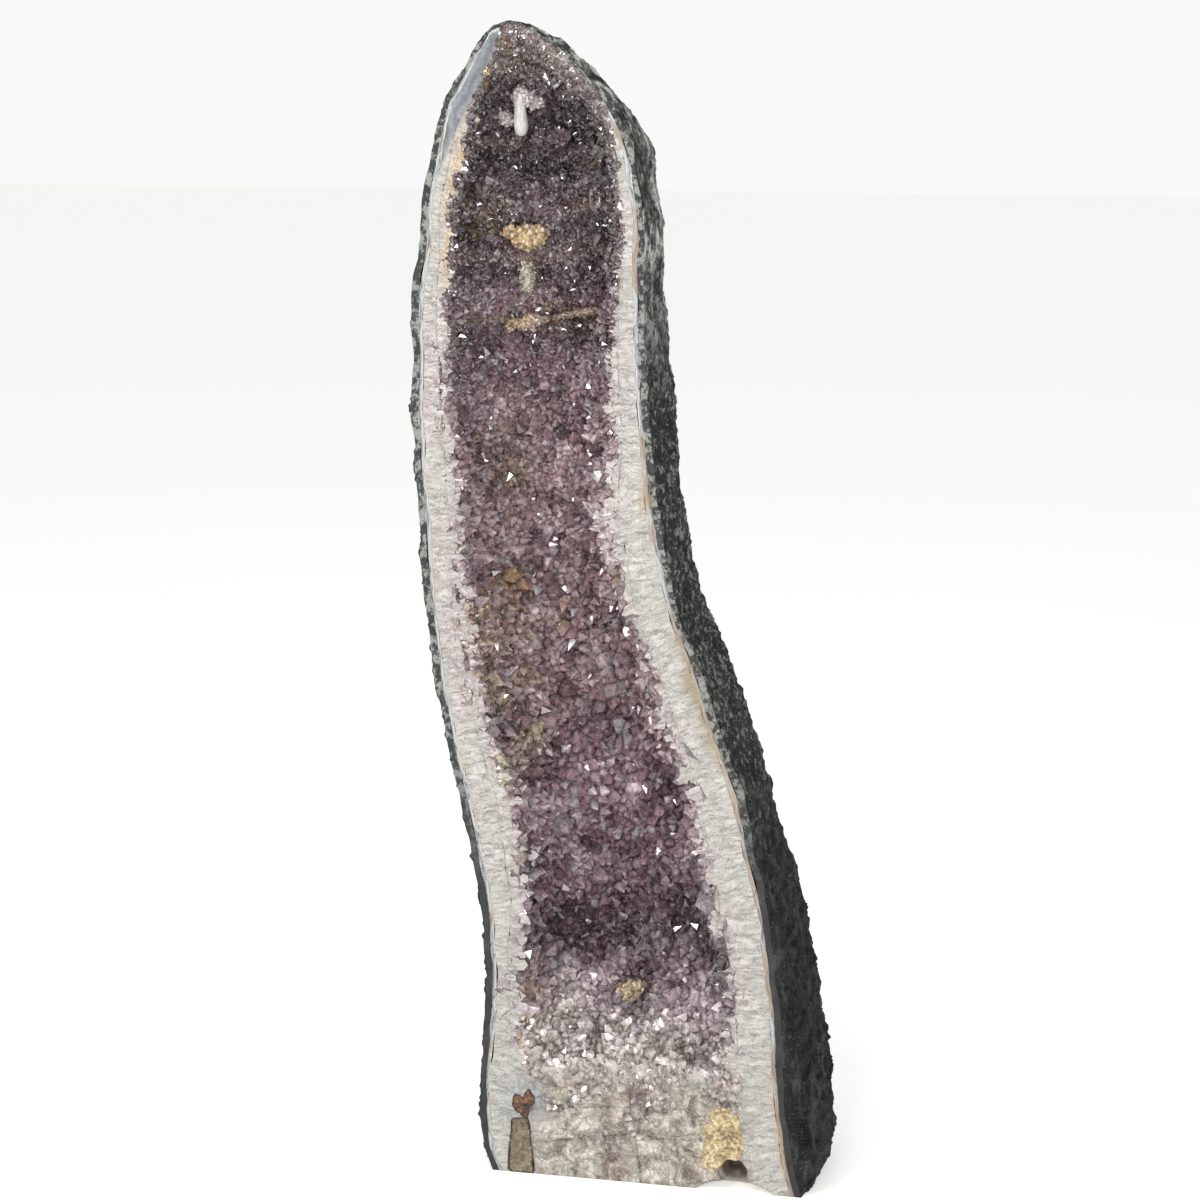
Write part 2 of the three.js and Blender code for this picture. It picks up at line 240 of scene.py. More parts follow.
class Recipe:  # a material and the nodes that make it
    def __init__(self, name):
        self.material = bpy.data.materials.new(name)
        self.material.use_nodes = True
        self.tree = self.material.node_tree
        self.tree.nodes.clear()
        self.place = self.node("ShaderNodeTexCoord", out="Object")

    def node(self, kind, settings=None, sockets=None, out=0):
        item = self.tree.nodes.new(kind)
        for key, value in (settings or {}).items():
            if key == "stops":
                self.setStops(item.color_ramp, value)
            else:
                setattr(item, key, value)
        for key, value in (sockets or {}).items():
            if isinstance(value, Wire):
                self.tree.links.new(value.socket, item.inputs[key])
            else:
                item.inputs[key].default_value = value
        return Wire(self, item.outputs[out])

    def setStops(self, ramp, stops):
        while len(ramp.elements) < len(stops):
            ramp.elements.new(0.5)
        for element, (where, *rgb) in zip(ramp.elements, stops):
            element.position, element.color = where, paint(*rgb)

    def noise(self, scale, detail=3.0, where=None, roughness=0.55, bend=0.0):
        sockets = {"Vector": where or self.place, "Scale": scale, "Detail": detail}
        sockets.update({"Roughness": roughness, "Distortion": bend})
        return self.node("ShaderNodeTexNoise", None, sockets, "Fac")

    def wobble(self, scale, detail, reach, **settings):  # noise around nought
        return (self.noise(scale, detail, **settings) - 0.5) * reach

    def cells(self, scale, feature="F1", where=None):
        sockets = {"Vector": where or self.place, "Scale": scale}
        return self.node("ShaderNodeTexVoronoi", {"feature": feature}, sockets, "Distance")

    def step(self, value, low, high, toLow=0.0, toHigh=1.0):
        sockets = {"Value": value, "From Min": low, "From Max": high, "To Min": toLow, "To Max": toHigh}
        return self.node("ShaderNodeMapRange", {"interpolation_type": "SMOOTHSTEP"}, sockets)

    def fall(self, value, low, high):
        return self.step(value, low, high, 1.0, 0.0)

    def ramp(self, value, *stops):  # each stop is a position and a paint
        return self.node("ShaderNodeValToRGB", {"stops": stops}, {"Fac": value}, "Color")

    def mix(self, share, first, second, how="MIX"):
        settings = {"data_type": "RGBA", "blend_type": how, "clamp_factor": True}
        return self.node("ShaderNodeMix", settings, {0: share, 6: first, 7: second}, 2)

    def over(self, colour, share, *rgb):  # a share of paint over a colour
        return self.mix(share, colour, paint(*rgb))

    def tinted(self, colour, *rgb):  # a colour seen through a tinted glass
        return self.mix(1.0, colour, paint(*rgb), "MULTIPLY")

    def axis(self, letter):
        return self.node("ShaderNodeSeparateXYZ", None, {"Vector": self.place}, letter)

    def stretched(self, scale, turn=(0, 0, 0)):
        sockets = {"Vector": self.place, "Scale": scale, "Rotation": turn}
        return self.node("ShaderNodeMapping", None, sockets)

    def vector(self, operation, sockets, out="Vector"):
        return self.node("ShaderNodeVectorMath", {"operation": operation}, sockets, out)

    def attribute(self, name, out="Fac"):
        return self.node("ShaderNodeAttribute", {"attribute_name": name}, None, out)

    def farFrom(self, node, weights):  # distance from the middle of a CAD node, in metres
        middle = sum(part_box(node), Vector()) / 2
        offset = self.vector("SUBTRACT", {0: self.place, 1: middle})
        return self.vector("LENGTH", {0: self.vector("MULTIPLY", {0: offset, 1: weights})}, "Value")

    def finish(self, colour, roughness, bumps=(), **fixed):  # bumps: a height and its depth in metres each
        sockets = {"Base Color": colour, "Roughness": roughness}
        normal = None
        for reach, depth in bumps:
            extra = {"Normal": normal} if normal else {}
            normal = self.node("ShaderNodeBump", None, {"Height": reach, "Distance": depth, **extra})
        if normal:
            sockets["Normal"] = normal
        sockets.update({key.replace("_", " "): value for key, value in fixed.items()})
        shader = self.node("ShaderNodeBsdfPrincipled", None, sockets, "BSDF")
        output = self.tree.nodes.new("ShaderNodeOutputMaterial")
        self.tree.links.new(shader.socket, output.inputs["Surface"])
        return self.material


# The layers of rock: a finer copy of each, its facets smoothed away.
layerForm = {
    "touching": 0.004,  # a face nearer than this to the next layer is out of sight
    "coarse": 0.012,  # longest edge while the facets are smoothed
    "rounds": 26,  # how long they are smoothed
    "mostMoved": 0.0028,  # smoothing never shifts a point further than this
    "behindSaw": 0.0008,  # what is out of sight stays this far behind the sawn face
    "sway": 0.0013, "swayLengths": (0.09, 0.045, 0.024), "steady": 0.05,  # none at the cut base
    "bandWide": 0.007,  # the agate band is nowhere wider
}
layers = {  # piece: CAD node, layers it touches, longest edge, reach under them, depth behind the cuts
    "weathered_rind": ("basalt_rind", ["chalcedony_band"], 0.0050, 0.0025, 0.00006),
    "agate_band": ("chalcedony_band", ["basalt_rind", "quartz_wall"], 0.005, 0.0002, 0),
    "sawn_quartz": ("quartz_wall", ["chalcedony_band", "amethyst_druse"], 0.004, 0.0025, 0.00006),
    "crystal_bed": ("amethyst_druse", ["quartz_wall"], 0.009, 0.005, 0.00012),
}


def sortFaces(piece, neighbours):
    trees = [treeOf(node) for node in neighbours]
    for face in piece.data.polygons:
        normal, start = face.normal, face.center - face.normal * 0.0001
        if normal.y < -0.99 and face.center.y < sawY + 0.0003:
            face.material_index = sawnFace
        elif normal.z < -0.99 and face.center.z < 0.0003:
            face.material_index = cutBase
        elif any(tree.ray_cast(start, normal, layerForm["touching"])[0] for tree in trees):
            face.material_index = hiddenFace
        else:
            face.material_index = outsideFace


def splitLong(piece, longest, passes, kinds):  # halves the edges that are longer than asked
    onlySelect(piece)
    bpy.context.tool_settings.mesh_select_mode = (False, True, False)
    mesh = piece.data
    for _ in range(passes):
        ends = numbersOf(mesh.edges, "vertices", width=2)
        points = pointsOf(mesh)
        shown = np.zeros(len(mesh.edges), bool)
        shown[numbersOf(mesh.loops, "edge_index")[np.isin(cornerSlots(mesh), kinds)]] = True
        picked = shown & (np.linalg.norm(points[ends[:, 0]] - points[ends[:, 1]], axis=1) > longest)
        if not picked.any():
            break
        mesh.vertices.foreach_set("select", np.zeros(len(mesh.vertices), bool))
        mesh.polygons.foreach_set("select", np.zeros(len(mesh.polygons), bool))
        mesh.edges.foreach_set("select", picked)
        bpy.ops.object.mode_set(mode="EDIT")
        bpy.ops.mesh.subdivide(number_cuts=1)
        bpy.ops.mesh.select_all(action="SELECT")
        bpy.ops.mesh.quads_convert_to_tris(quad_method="SHORTEST_DIAGONAL", ngon_method="BEAUTY")
        stopEditing()


def relax(piece, rounds):  # a point between two kinds of face only slides along the line between them
    mesh = piece.data
    loopBits = (1 << cornerSlots(mesh)).astype(np.int64)
    onPoint = np.zeros(len(mesh.vertices), np.int64)
    onEdge = np.zeros(len(mesh.edges), np.int64)
    np.bitwise_or.at(onPoint, numbersOf(mesh.loops, "vertex_index"), loopBits)
    np.bitwise_or.at(onEdge, numbersOf(mesh.loops, "edge_index"), loopBits)
    ends = numbersOf(mesh.edges, "vertices", width=2)
    first, second = ends[:, 0], ends[:, 1]
    toFirst = (onPoint[first] & ~onEdge) == 0
    toSecond = (onPoint[second] & ~onEdge) == 0
    total = len(onPoint)
    links = np.bincount(first[toFirst], minlength=total)
    links += np.bincount(second[toSecond], minlength=total)
    free = (links > 0) & (onPoint != (1 << hiddenFace))
    points = pointsOf(mesh)
    before = points.copy()
    for _ in range(rounds):
        for axis in range(3):
            column = points[:, axis]
            added = np.bincount(first[toFirst], column[second[toFirst]], total)
            added += np.bincount(second[toSecond], column[first[toSecond]], total)
            column[free] = 0.5 * column[free] + 0.5 * added[free] / links[free]
    moved = points - before
    far = np.maximum(np.linalg.norm(moved, axis=1) / layerForm["mostMoved"], 1)[:, None]
    movePoints(mesh, before + moved / far)
    return onPoint


def closeSeams(piece, onPoint, swell, recess):  # grows a layer under its neighbour, a hair behind it
    mesh = piece.data
    points = pointsOf(mesh)
    normals = numbersOf(mesh.polygons, "normal", np.float32, 3)
    counts = numbersOf(mesh.polygons, "loop_total")
    corners = numbersOf(mesh.loops, "vertex_index")
    hidden = cornerSlots(mesh) == hiddenFace
    out = np.zeros((len(points), 3))
    np.add.at(out, corners[hidden], np.repeat(normals, counts, axis=0)[hidden])
    onFace, onBase = (onPoint & (1 << sawnFace)) > 0, (onPoint & (1 << cutBase)) > 0
    out[onFace, 1] = 0
    out[onBase, 2] = 0
    out /= np.maximum(np.linalg.norm(out, axis=1), 1e-9)[:, None]
    points += out * swell
    points[onFace, 1] += recess
    points[onBase, 2] += recess
    points[~onFace, 1] = np.maximum(points[~onFace, 1], sawY + layerForm["behindSaw"])
    movePoints(mesh, points)


def sway(points):  # the same slow waver for every layer, so that they stay in step
    moved = points.copy()
    reach = layerForm["sway"] * np.clip(points[:, 2] / layerForm["steady"], 0, 1)
    for axis, seed in ((0, 3), (2, 8)):
        moved[:, axis] += reach * waves(points, seed, layerForm["swayLengths"], (1.0, 0.7, 0.4))
    return moved


def layerPiece(name, node, neighbours, finest, swell, recess):
    piece = nodeCopy(node, name)
    sortFaces(piece, neighbours)
    seen = (outsideFace, sawnFace, cutBase)
    splitLong(piece, layerForm["coarse"], 7, seen)
    onPoint = relax(piece, layerForm["rounds"])
    closeSeams(piece, onPoint, swell, recess)
    splitLong(piece, finest, 3, seen)
    relax(piece, 2)
    movePoints(piece.data, sway(pointsOf(piece.data)))
    print(name, len(piece.data.polygons), "faces")
    return piece


def sawnPoints(piece, other=None):  # points of the sawn face, or those that it shares with another slot
    slots = cornerSlots(piece.data)
    corners = numbersOf(piece.data.loops, "vertex_index")
    found = np.unique(corners[slots == sawnFace])
    return found if other is None else np.intersect1d(found, corners[slots == other])


rind, band, wall, bed = (layerPiece(name, *settings) for name, settings in layers.items())
rindEdge = treeOfPoints(pointsOf(rind.data)[sawnPoints(rind, hiddenFace)])

crownForm = {  # near the top the wall was broken back, not sawn, and leans into the hollow
    "from": 1.108, "over": 0.022,  # height where the break starts, and over which it sets in
    "drop": 0.075,  # how much further down it runs on the right
    "slope": 0.5,
    "least": 0.004, "widens": 0.16,  # what stays whole next to the rind, and what it gains lower down
    "width": 0.0046, "spacing": 0.63, "tries": 26000, "seed": 140,
    "bare": 0.0012, "bareLeft": 0.0165, "bareWidens": 0.19,  # what stays bare of crystals
    "edgePaint": (178, 160, 152), "edgeFade": 0.007,
}


def crownStart(points):
    return crownForm["from"] - crownForm["drop"] * np.clip((points[:, 0] + 0.05) / 0.03, 0, 1)


def openCrown(piece):
    points = pointsOf(piece.data)
    onFace = sawnPoints(piece)
    at = points[onFace]
    share = np.clip((at[:, 2] - crownStart(at)) / crownForm["over"], 0, 1)
    least = crownForm["least"] + crownForm["widens"] * np.maximum(crownForm["from"] - at[:, 2], 0)
    depth = measureFrom(rindEdge, at)[1]
    points[onFace, 1] += share * crownForm["slope"] * np.maximum(depth - least, 0)
    movePoints(piece.data, points)


bedForm = {
    "lumps": 0.0036, "lengths": (0.06, 0.032),  # slow relief under the crystals
    "flat": 0.02,  # it fades out this near to the sawn face
    "mounds": [  # place as shares of the lining's width and height, radius, rise
        (0.575, 0.572, 0.022, 0.013), (0.43, 0.440, 0.014, -0.014), (0.37, 0.60, 0.03, 0.006),
        (0.56, 0.50, 0.028, 0.007), (0.62, 0.36, 0.03, 0.006), (0.5, 0.16, 0.04, -0.008),
        (0.30, 0.905, 0.02, -0.012), (0.36, 0.80, 0.03, 0.004), (0.42, 0.28, 0.03, 0.005)],
    "tuck": 0.003, "tuckFrom": 0.003, "tuckOver": 0.004,  # how far the lining runs on behind the wall
}


def shapeBed(piece):
    mesh = piece.data
    low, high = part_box("amethyst_druse")
    points = pointsOf(mesh)
    slots = cornerSlots(mesh)
    corners = numbersOf(mesh.loops, "vertex_index")
    inner = np.setdiff1d(corners[slots == outsideFace], corners[slots != outsideFace])
    push = bedForm["lumps"] * waves(points, 12, bedForm["lengths"], (1.0, 0.6))
    for across, up, radius, rise in bedForm["mounds"]:
        centre = (low.x + across * (high.x - low.x), low.z + up * (high.z - low.z))
        push += rise * np.exp(-offFrom(points, *centre, radius, radius) ** 2)
    push *= np.clip((points[:, 1] - sawY) / bedForm["flat"], 0, 1)
    points[inner] += normalsOf(mesh)[inner] * push[inner][:, None]
    movePoints(mesh, points)


def tuckUnder(piece):  # so that no gap shows between the lining and the wall
    points = pointsOf(piece.data)
    seam = sawnPoints(piece, hiddenFace)
    feet, away = measureFrom(hollowEdge, points[seam])
    way = points[seam] - feet
    way[:, 1] = 0
    way /= np.maximum(np.linalg.norm(way, axis=1), 1e-6)[:, None]
    share = np.clip((away - bedForm["tuckFrom"]) / bedForm["tuckOver"], 0, 1)
    points[seam] += way * (bedForm["tuck"] * share)[:, None]
    movePoints(piece.data, points)


rimForm = {  # crystals stand on the broken edge of the lining, not only inside it
    "mid": 0.0070, "upper": 0.0125,  # how far the sawn edge is broken back, from the hollow
    "ragged": 0.0022, "slope": 1.1, "spacing": 0.6, "tries": 30000, "seed": 160,
    "palest": (206, 194, 196), "pale": 0.3,
}


def rimReach(at):
    high = np.clip((at[:, 2] - 0.86) / 0.1, 0, 1) * np.clip((at[:, 0] + 0.06) / 0.05, 0, 1)
    reach = rimForm["mid"] + (rimForm["upper"] - rimForm["mid"]) * high
    reach = reach + rimForm["ragged"] * waves(at, 93, (0.05, 0.018), (0.8, 1.0))
    return reach * np.clip((at[:, 2] - 0.1) / 0.02, 0.3, 1)


def bevelRim(piece):
    points = pointsOf(piece.data)
    onFace = sawnPoints(piece)
    rim = measureFrom(hollowEdge, points[onFace])[1]
    points[onFace, 1] += rimForm["slope"] * np.maximum(rimReach(points[onFace]) - rim, 0)
    movePoints(piece.data, points)


def markGrowth(piece, points, picked):  # how far the quartz is from the band and from the hollow
    feet, depth = np.zeros((len(points), 3)), np.zeros(len(points))
    rim = np.full(len(points), 0.05)
    feet[picked], depth[picked] = measureFrom(bandEdge, points[picked])
    rim[picked] = measureFrom(hollowEdge, points[picked])[1]
    keepNumbers(piece.data, "foot", "FLOAT_VECTOR", feet)
    keepNumbers(piece.data, "depth", "FLOAT", depth)
    keepNumbers(piece.data, "rim", "FLOAT", rim)


openCrown(wall)
openCrown(bed)
shapeBed(bed)
wallSeam = pointsOf(wall.data)[sawnPoints(wall, hiddenFace)]
bandEdge = treeOfPoints(wallSeam[measureFrom(rindEdge, wallSeam)[1] < layerForm["bandWide"]])
hollowEdge = treeOfPoints(pointsOf(bed.data)[sawnPoints(bed, outsideFace)])
tuckUnder(bed)
bevelRim(bed)
for piece in (wall, bed):
    markGrowth(piece, pointsOf(piece.data), sawnPoints(piece))
bandDepth = np.zeros(len(band.data.vertices))
bandDepth[sawnPoints(band)] = measureFrom(rindEdge, pointsOf(band.data)[sawnPoints(band)])[1]
keepNumbers(band.data, "depth", "FLOAT", bandDepth)
print("layers shaped")


def weatheredBasalt():
    r = Recipe("weathered_basalt")
    tall = r.axis("Z")
    patches = r.noise(22, 6, roughness=0.65)
    grain = r.noise(330, 5, roughness=0.7)
    dark = r.ramp(patches, (0.32, 10, 11, 12), (0.5, 21, 23, 24), (0.7, 44, 46, 46))
    streaks = r.noise(1, 6, r.stretched((95, 60, 26), (0.0, 0.3, 0.0)), 0.68)
    smooth = r.ramp(
        streaks, (0.41, 12, 14, 14), (0.47, 58, 63, 61), (0.52, 108, 112, 108), (0.58, 222, 222, 216))
    colour = r.mix(r.step(tall + (patches - 0.5) * 0.25, 0.82, 1.02), dark, smooth)
    crumbs = r.step(r.noise(110, 6, roughness=0.75), 0.5, 0.6)
    crumbs = crumbs * r.step(tall + (patches - 0.5) * 0.3, 0.3, 0.5)
    colour = r.over(colour, crumbs * 0.75, 154, 155, 148)
    specks = r.step(r.noise(620, 2), 0.64, 0.7)
    colour = r.over(colour, specks * 0.6, 168, 168, 160)
    # painted shade: darker where the grain bump dips and where the relief is sunk
    holeShade = r.fall(grain, 0.34, 0.46)
    colour = r.over(colour, holeShade * 0.8, 9, 10, 10)
    pitShade = r.fall(r.attribute("relief"), -0.0026, 0.0004)
    colour = r.over(colour, pitShade * 0.8, 10, 11, 11)
    rust = r.step(r.noise(11, 4), 0.62, 0.74)
    colour = r.over(colour, rust * 0.3, 96, 80, 60)
    scored = r.noise(1, 5, r.stretched((90, 60, 22), (0.4, 0.75, 0.1)), 0.65)
    lowDown = r.fall(tall, 0.3, 0.55)
    # painted highlight along the scored ridges low down
    colour = r.over(colour, r.step(scored, 0.5, 0.64) * lowDown * 0.4, 100, 102, 102)
    bumps = [(grain, 0.004), (scored * lowDown, 0.022), (r.noise(120, 4), 0.003)]
    return r.finish(colour, 0.6 + grain * 0.35, bumps, Specular_IOR_Level=0.4)


def sawnBasalt():
    r = Recipe("sawn_basalt")
    grain = r.noise(420, 4, roughness=0.7)
    colour = r.ramp(r.noise(45, 5), (0.3, 22, 23, 23), (0.55, 40, 41, 40), (0.75, 62, 62, 58))
    crumbs = r.step(r.noise(120, 5, roughness=0.75), 0.47, 0.57) * r.step(r.axis("Z"), 0.3, 0.5)
    colour = r.over(colour, crumbs * 0.75, 146, 147, 141)
    return r.finish(colour, 0.6 + grain * 0.2, [(grain, 0.0008)])


def agateBand():
    r = Recipe("agate_band")
    depth = r.attribute("depth") + r.wobble(75, 3, 0.0016)
    colour = r.ramp(
        depth * (1 / 0.0055), (0.0, 58, 48, 40), (0.12, 98, 90, 82), (0.22, 132, 134, 136),
        (0.42, 150, 154, 156), (0.5, 206, 206, 200), (0.58, 88, 80, 74),
        (0.66, 168, 170, 166), (0.8, 146, 150, 152), (0.95, 188, 188, 180))
    stain = r.step(r.noise(13, 4) + r.axis("X") * 0.5, 0.48, 0.6)
    colour = r.over(colour, stain * 0.6, 132, 106, 74)
    return r.finish(colour, 0.32, [(r.noise(300, 2), 0.0002)], IOR=1.54)


def palisadeQuartz():  # the wall, and the massive quartz of the foot
    r = Recipe("palisade_quartz")
    depth, rim = r.attribute("depth"), r.attribute("rim")
    tall, across = r.axis("Z"), r.axis("X")
    along = r.node("ShaderNodeCombineXYZ", None, {"Y": depth * 0.16}, "Vector")
    where = r.vector("ADD", {0: r.attribute("foot", "Vector"), 1: along})  # needles run as they grew
    columns = r.noise(420, 5, where, 0.7)
    grain = r.noise(420, 4, roughness=0.65)
    both = columns * 0.72 + grain * 0.28
    grey = r.ramp(both, (0.38, 130, 127, 125), (0.49, 180, 176, 172), (0.6, 214, 210, 205))
    lilac = r.ramp(both, (0.38, 128, 112, 116), (0.49, 178, 164, 165), (0.6, 212, 204, 201))
    colour = r.mix(r.step(rim + (columns - 0.5) * 0.03, 0.0, 0.022, 0.75, 0.0), grey, lilac)
    clouds = r.step(r.noise(24, 4), 0.5, 0.68)
    colour = r.over(colour, clouds * 0.35, 166, 168, 154)
    dashes = r.fall(r.cells(240, "DISTANCE_TO_EDGE", where), 0.0, 0.08)
    dashes = dashes * r.step(r.noise(150, 3), 0.48, 0.56)
    colour = r.over(colour, dashes * 0.22, 120, 110, 108)
    edge = r.fall(depth + r.wobble(30, 4, 0.02), 0.0, 0.007) * r.step(r.noise(9, 3), 0.5, 0.62)
    colour = r.over(colour, edge * 0.6, 180, 152, 112)

    # a golden crust at the upper left, blue-grey agate at the crown, an olive stain at the right
    crust = r.fall(rim + r.wobble(60, 4, 0.024), 0.008, 0.020) * r.step(r.noise(26, 3), 0.38, 0.5)
    crust = crust * r.step(tall, 0.92, 0.98) * r.fall(across, -0.11, -0.075)
    golden = r.mix(r.step(grain, 0.4, 0.6), paint(168, 138, 92), paint(214, 198, 162))
    colour = r.mix(crust * 0.75, colour, golden)
    agate = r.ramp(
        depth * 34 + r.wobble(34, 4, 0.9), (0.0, 88, 94, 100), (0.2, 134, 142, 150),
        (0.36, 100, 108, 118), (0.52, 144, 150, 156), (0.7, 112, 116, 124), (1.0, 142, 138, 136))
    crown = r.step(tall + r.wobble(16, 3, 0.06), 1.02, 1.07) * r.fall(across, -0.116, -0.10)
    crown = crown * r.fall(depth + r.wobble(40, 3, 0.01) - (tall - 1.10) * 0.25, 0.008, 0.014)
    colour = r.mix(crown * 0.9, colour, agate)
    olive = r.fall(depth + r.wobble(40, 4, 0.03), 0.002, 0.016) * r.step(across, 0.02, 0.05)
    olive = olive * r.step(tall, 0.44, 0.50) * r.fall(tall, 0.56, 0.62)
    colour = r.over(colour, olive * 0.75, 146, 132, 92)

    # the foot: mottled, with shards, mauve clouds and glassy spots
    mottle = r.ramp(
        r.noise(46, 6, roughness=0.72, bend=0.6), (0.38, 84, 72, 70), (0.45, 128, 122, 112),
        (0.5, 160, 156, 144), (0.55, 184, 178, 165), (0.61, 220, 216, 206))
    shards = r.fall(r.cells(150, "DISTANCE_TO_EDGE"), 0.0, 0.12) * r.step(r.noise(90, 3), 0.42, 0.56)
    mottle = r.over(mottle, shards * 0.7, 98, 90, 84)
    mottle = r.over(mottle, r.step(grain, 0.5, 0.62) * 0.4, 204, 198, 186)
    mauve = r.step(r.noise(30, 4), 0.5, 0.62)
    mottle = r.mix(mauve * 0.6, mottle, r.tinted(mottle, 224, 196, 200))
    glassy = r.fall(r.cells(95), 0.2, 0.34) * r.step(r.noise(40, 2), 0.5, 0.56)
    mottle = r.over(mottle, glassy * 0.5, 214, 208, 198)
    deep = r.step(depth + r.wobble(26, 3, 0.03), 0.03, 0.05) * r.fall(tall, 0.1, 0.14)
    colour = r.mix(deep, colour, mottle)

    # stains around what the saw cut through, and painted shade in the pocket by the bead
    ragged = r.wobble(48, 5, 0.05, roughness=0.7)
    patch = r.fall(r.farFrom("base_calcite", (1.0, 1, 0.62)) + ragged, 0.020, 0.026)
    cream = r.mix(r.step(grain, 0.4, 0.6), paint(160, 136, 92), paint(212, 200, 166))
    colour = r.mix(patch * 0.8, colour, cream)
    # painted shade in the hollow pocket around the bead
    pocket = r.fall(r.farFrom("pocket_bead", (1, 1, 1)) + ragged * 0.3, 0.016, 0.026)
    colour = r.over(colour, pocket * 0.85, 52, 44, 38)
    halo = r.fall(r.farFrom("rust_nodules", (1, 1, 0.8)) + ragged * 0.5, 0.014, 0.04)
    bluish = r.mix(r.step(both, 0.4, 0.6), paint(132, 136, 140), paint(186, 188, 188))
    colour = r.mix(halo * 0.7, colour, bluish)
    rusty = r.fall(r.farFrom("rust_nodules", (1, 1, 1)) + ragged * 0.6, 0.006, 0.013)
    colour = r.over(colour, rusty * 0.85, 70, 46, 32)
    colour = r.tinted(colour, 228, 228, 226)
    return r.finish(colour, 0.34 + columns * 0.2, [(columns, 0.0012), (dashes, -0.0002)], IOR=1.54)


def crystalBed():
    r = Recipe("crystal_bed")
    colour = r.over(r.attribute("tint", "Color"), r.step(r.noise(260, 4), 0.4, 0.7) * 0.4, 150, 132, 136)
    return r.finish(colour, 0.3, [(r.cells(190), 0.002)], IOR=1.54)


def facets(name, clearness, shine):
    r = Recipe(name)
    cloud = r.noise(170, 3)
    colour = r.over(r.attribute("tint", "Color"), r.step(cloud, 0.45, 0.75) * 0.3, 208, 196, 198)
    colour = r.mix(r.step(cloud, 0.52, 0.34) * 0.65, colour, r.tinted(colour, 134, 112, 122))
    veils = r.noise(520, 4, roughness=0.7, bend=0.8)  # flaws inside the crystals
    colour = r.mix(r.step(veils, 0.5, 0.4) * 0.55, colour, r.tinted(colour, 116, 96, 102))
    colour = r.over(colour, r.step(veils, 0.57, 0.66) * 0.45, 226, 214, 214)
    film = r.step(r.noise(60, 4), 0.5, 0.72)
    return r.finish(colour, shine + film * 0.12, Transmission_Weight=clearness, IOR=1.75)


# The rock outside.
rindForm = {
    "lumps": 0.0044, "grain": 0.0038, "ridges": 0.0060, "fine": 0.0022,  # relief, in metres
    "ridgeTurn": (0.5, 0.9, 0.2), "ridgeSize": (0.012, 0.05, 0.012),
    "flare": 0.021, "flareFrom": 0.36, "flareOver": 0.22,  # the right foot spreads, below this height
    "steps": 20,  # of the weights that fade the relief out
}


def holdGroup(piece, name, share):  # weights that leave the saw cuts flat
    group = piece.vertex_groups.new(name=name)
    steps = np.round(np.clip(share, 0, 1) * rindForm["steps"]) / rindForm["steps"]
    for step in np.unique(steps):
        if step > 0:
            group.add([int(index) for index in np.flatnonzero(steps == step)], float(step), "REPLACE")


def roughen(piece, name, group, scale, depth, guide=None):
    texture = bpy.data.textures.new(name, type="CLOUDS")
    texture.noise_scale = scale
    texture.noise_depth = depth
    push = piece.modifiers.new(name, "DISPLACE")
    push.texture = texture
    push.vertex_group = group
    push.strength = rindForm[name] * 2
    push.mid_level = 0.5
    push.texture_coords = "OBJECT" if guide else "LOCAL"
    if guide:
        push.texture_coords_object = guide
    onlySelect(piece)
    bpy.ops.object.modifier_apply(modifier=name)


def shapeRind(piece):
    mesh = piece.data
    points = pointsOf(mesh)
    cut = numbersOf(mesh.loops, "vertex_index")[cornerSlots(mesh) != outsideFace]
    free = np.ones(len(points))
    free[cut] = 0
    tall = points[:, 2]
    spread = np.clip((rindForm["flareFrom"] - tall) / rindForm["flareOver"], 0, 1)
    spread = spread * np.clip(tall / 0.04, 0, 1)
    points[:, 0] += rindForm["flare"] * free * spread * np.clip((points[:, 0] - 0.10) / 0.05, 0, 1)
    movePoints(mesh, points)
    calmTop = np.clip((0.98 - tall) / 0.2, 0.25, 1)
    calmFoot = np.clip((tall - 0.12) / 0.25, 0.45, 1)
    holdGroup(piece, "all", free)
    holdGroup(piece, "grainy", free * calmTop * calmFoot)
    holdGroup(piece, "ridged", free * np.clip((0.5 - tall) / 0.25, 0, 1))
    bpy.ops.object.empty_add(location=(0, 0, 0), rotation=rindForm["ridgeTurn"])
    guide = bpy.context.object
    guide.scale = rindForm["ridgeSize"]
    bpy.context.view_layer.update()
    roughen(piece, "lumps", "all", 0.05, 3)
    roughen(piece, "ridges", "ridged", 1.0, 2, guide)
    roughen(piece, "grain", "grainy", 0.011, 3)
    roughen(piece, "fine", "all", 0.006, 1)
    bpy.data.objects.remove(guide)
    keepNumbers(mesh, "relief", "FLOAT", np.einsum("ij,ij->i", pointsOf(mesh) - points, normalsOf(mesh)))


shapeRind(rind)
basaltCut = sawnBasalt()
cover(rind, weatheredBasalt(), basaltCut, basaltCut, basaltCut)
quartz = palisadeQuartz()
cover(band, *[agateBand()] * 4)
cover(wall, *[quartz] * 4)
bedFinish = crystalBed()
cover(bed, bedFinish, quartz, quartz, bedFinish)
settle(rind, "basalt", "basalt_rind")
settle(band, "chalcedony", "chalcedony_band")
settle(wall, "palisade_quartz", "quartz_wall")
settle(bed, "amethyst", "amethyst_druse")
print("rock outside and finishes of the layers")

# Crystals: a few are modelled, then set by the thousand.
crystalForm = {
    "long": 6,  # kinds with a prism under the tip
    "short": 8,  # kinds that are all tip
    "slope": 51.8,  # degrees between the axis and the way that a tip face looks
    "unequal": 0.24,  # how much deeper every other tip face may be cut
    "rare": 0.12,  # share that stands well clear of its neighbours
    "whole": 0.72,  # a crystal with more than this share of its points sawn off is left out
    "rootShade": 0.28, "tipShade": 1.09,  # painted shade at the root, painted light towards the tip
}


def kindOf(crystal):
    mesh = crystal.data
    kind = {
        "points": pointsOf(mesh),
        "corners": numbersOf(mesh.loops, "vertex_index"),
        "counts": numbersOf(mesh.polygons, "loop_total"),
    }
    bpy.data.objects.remove(crystal)
    return kind


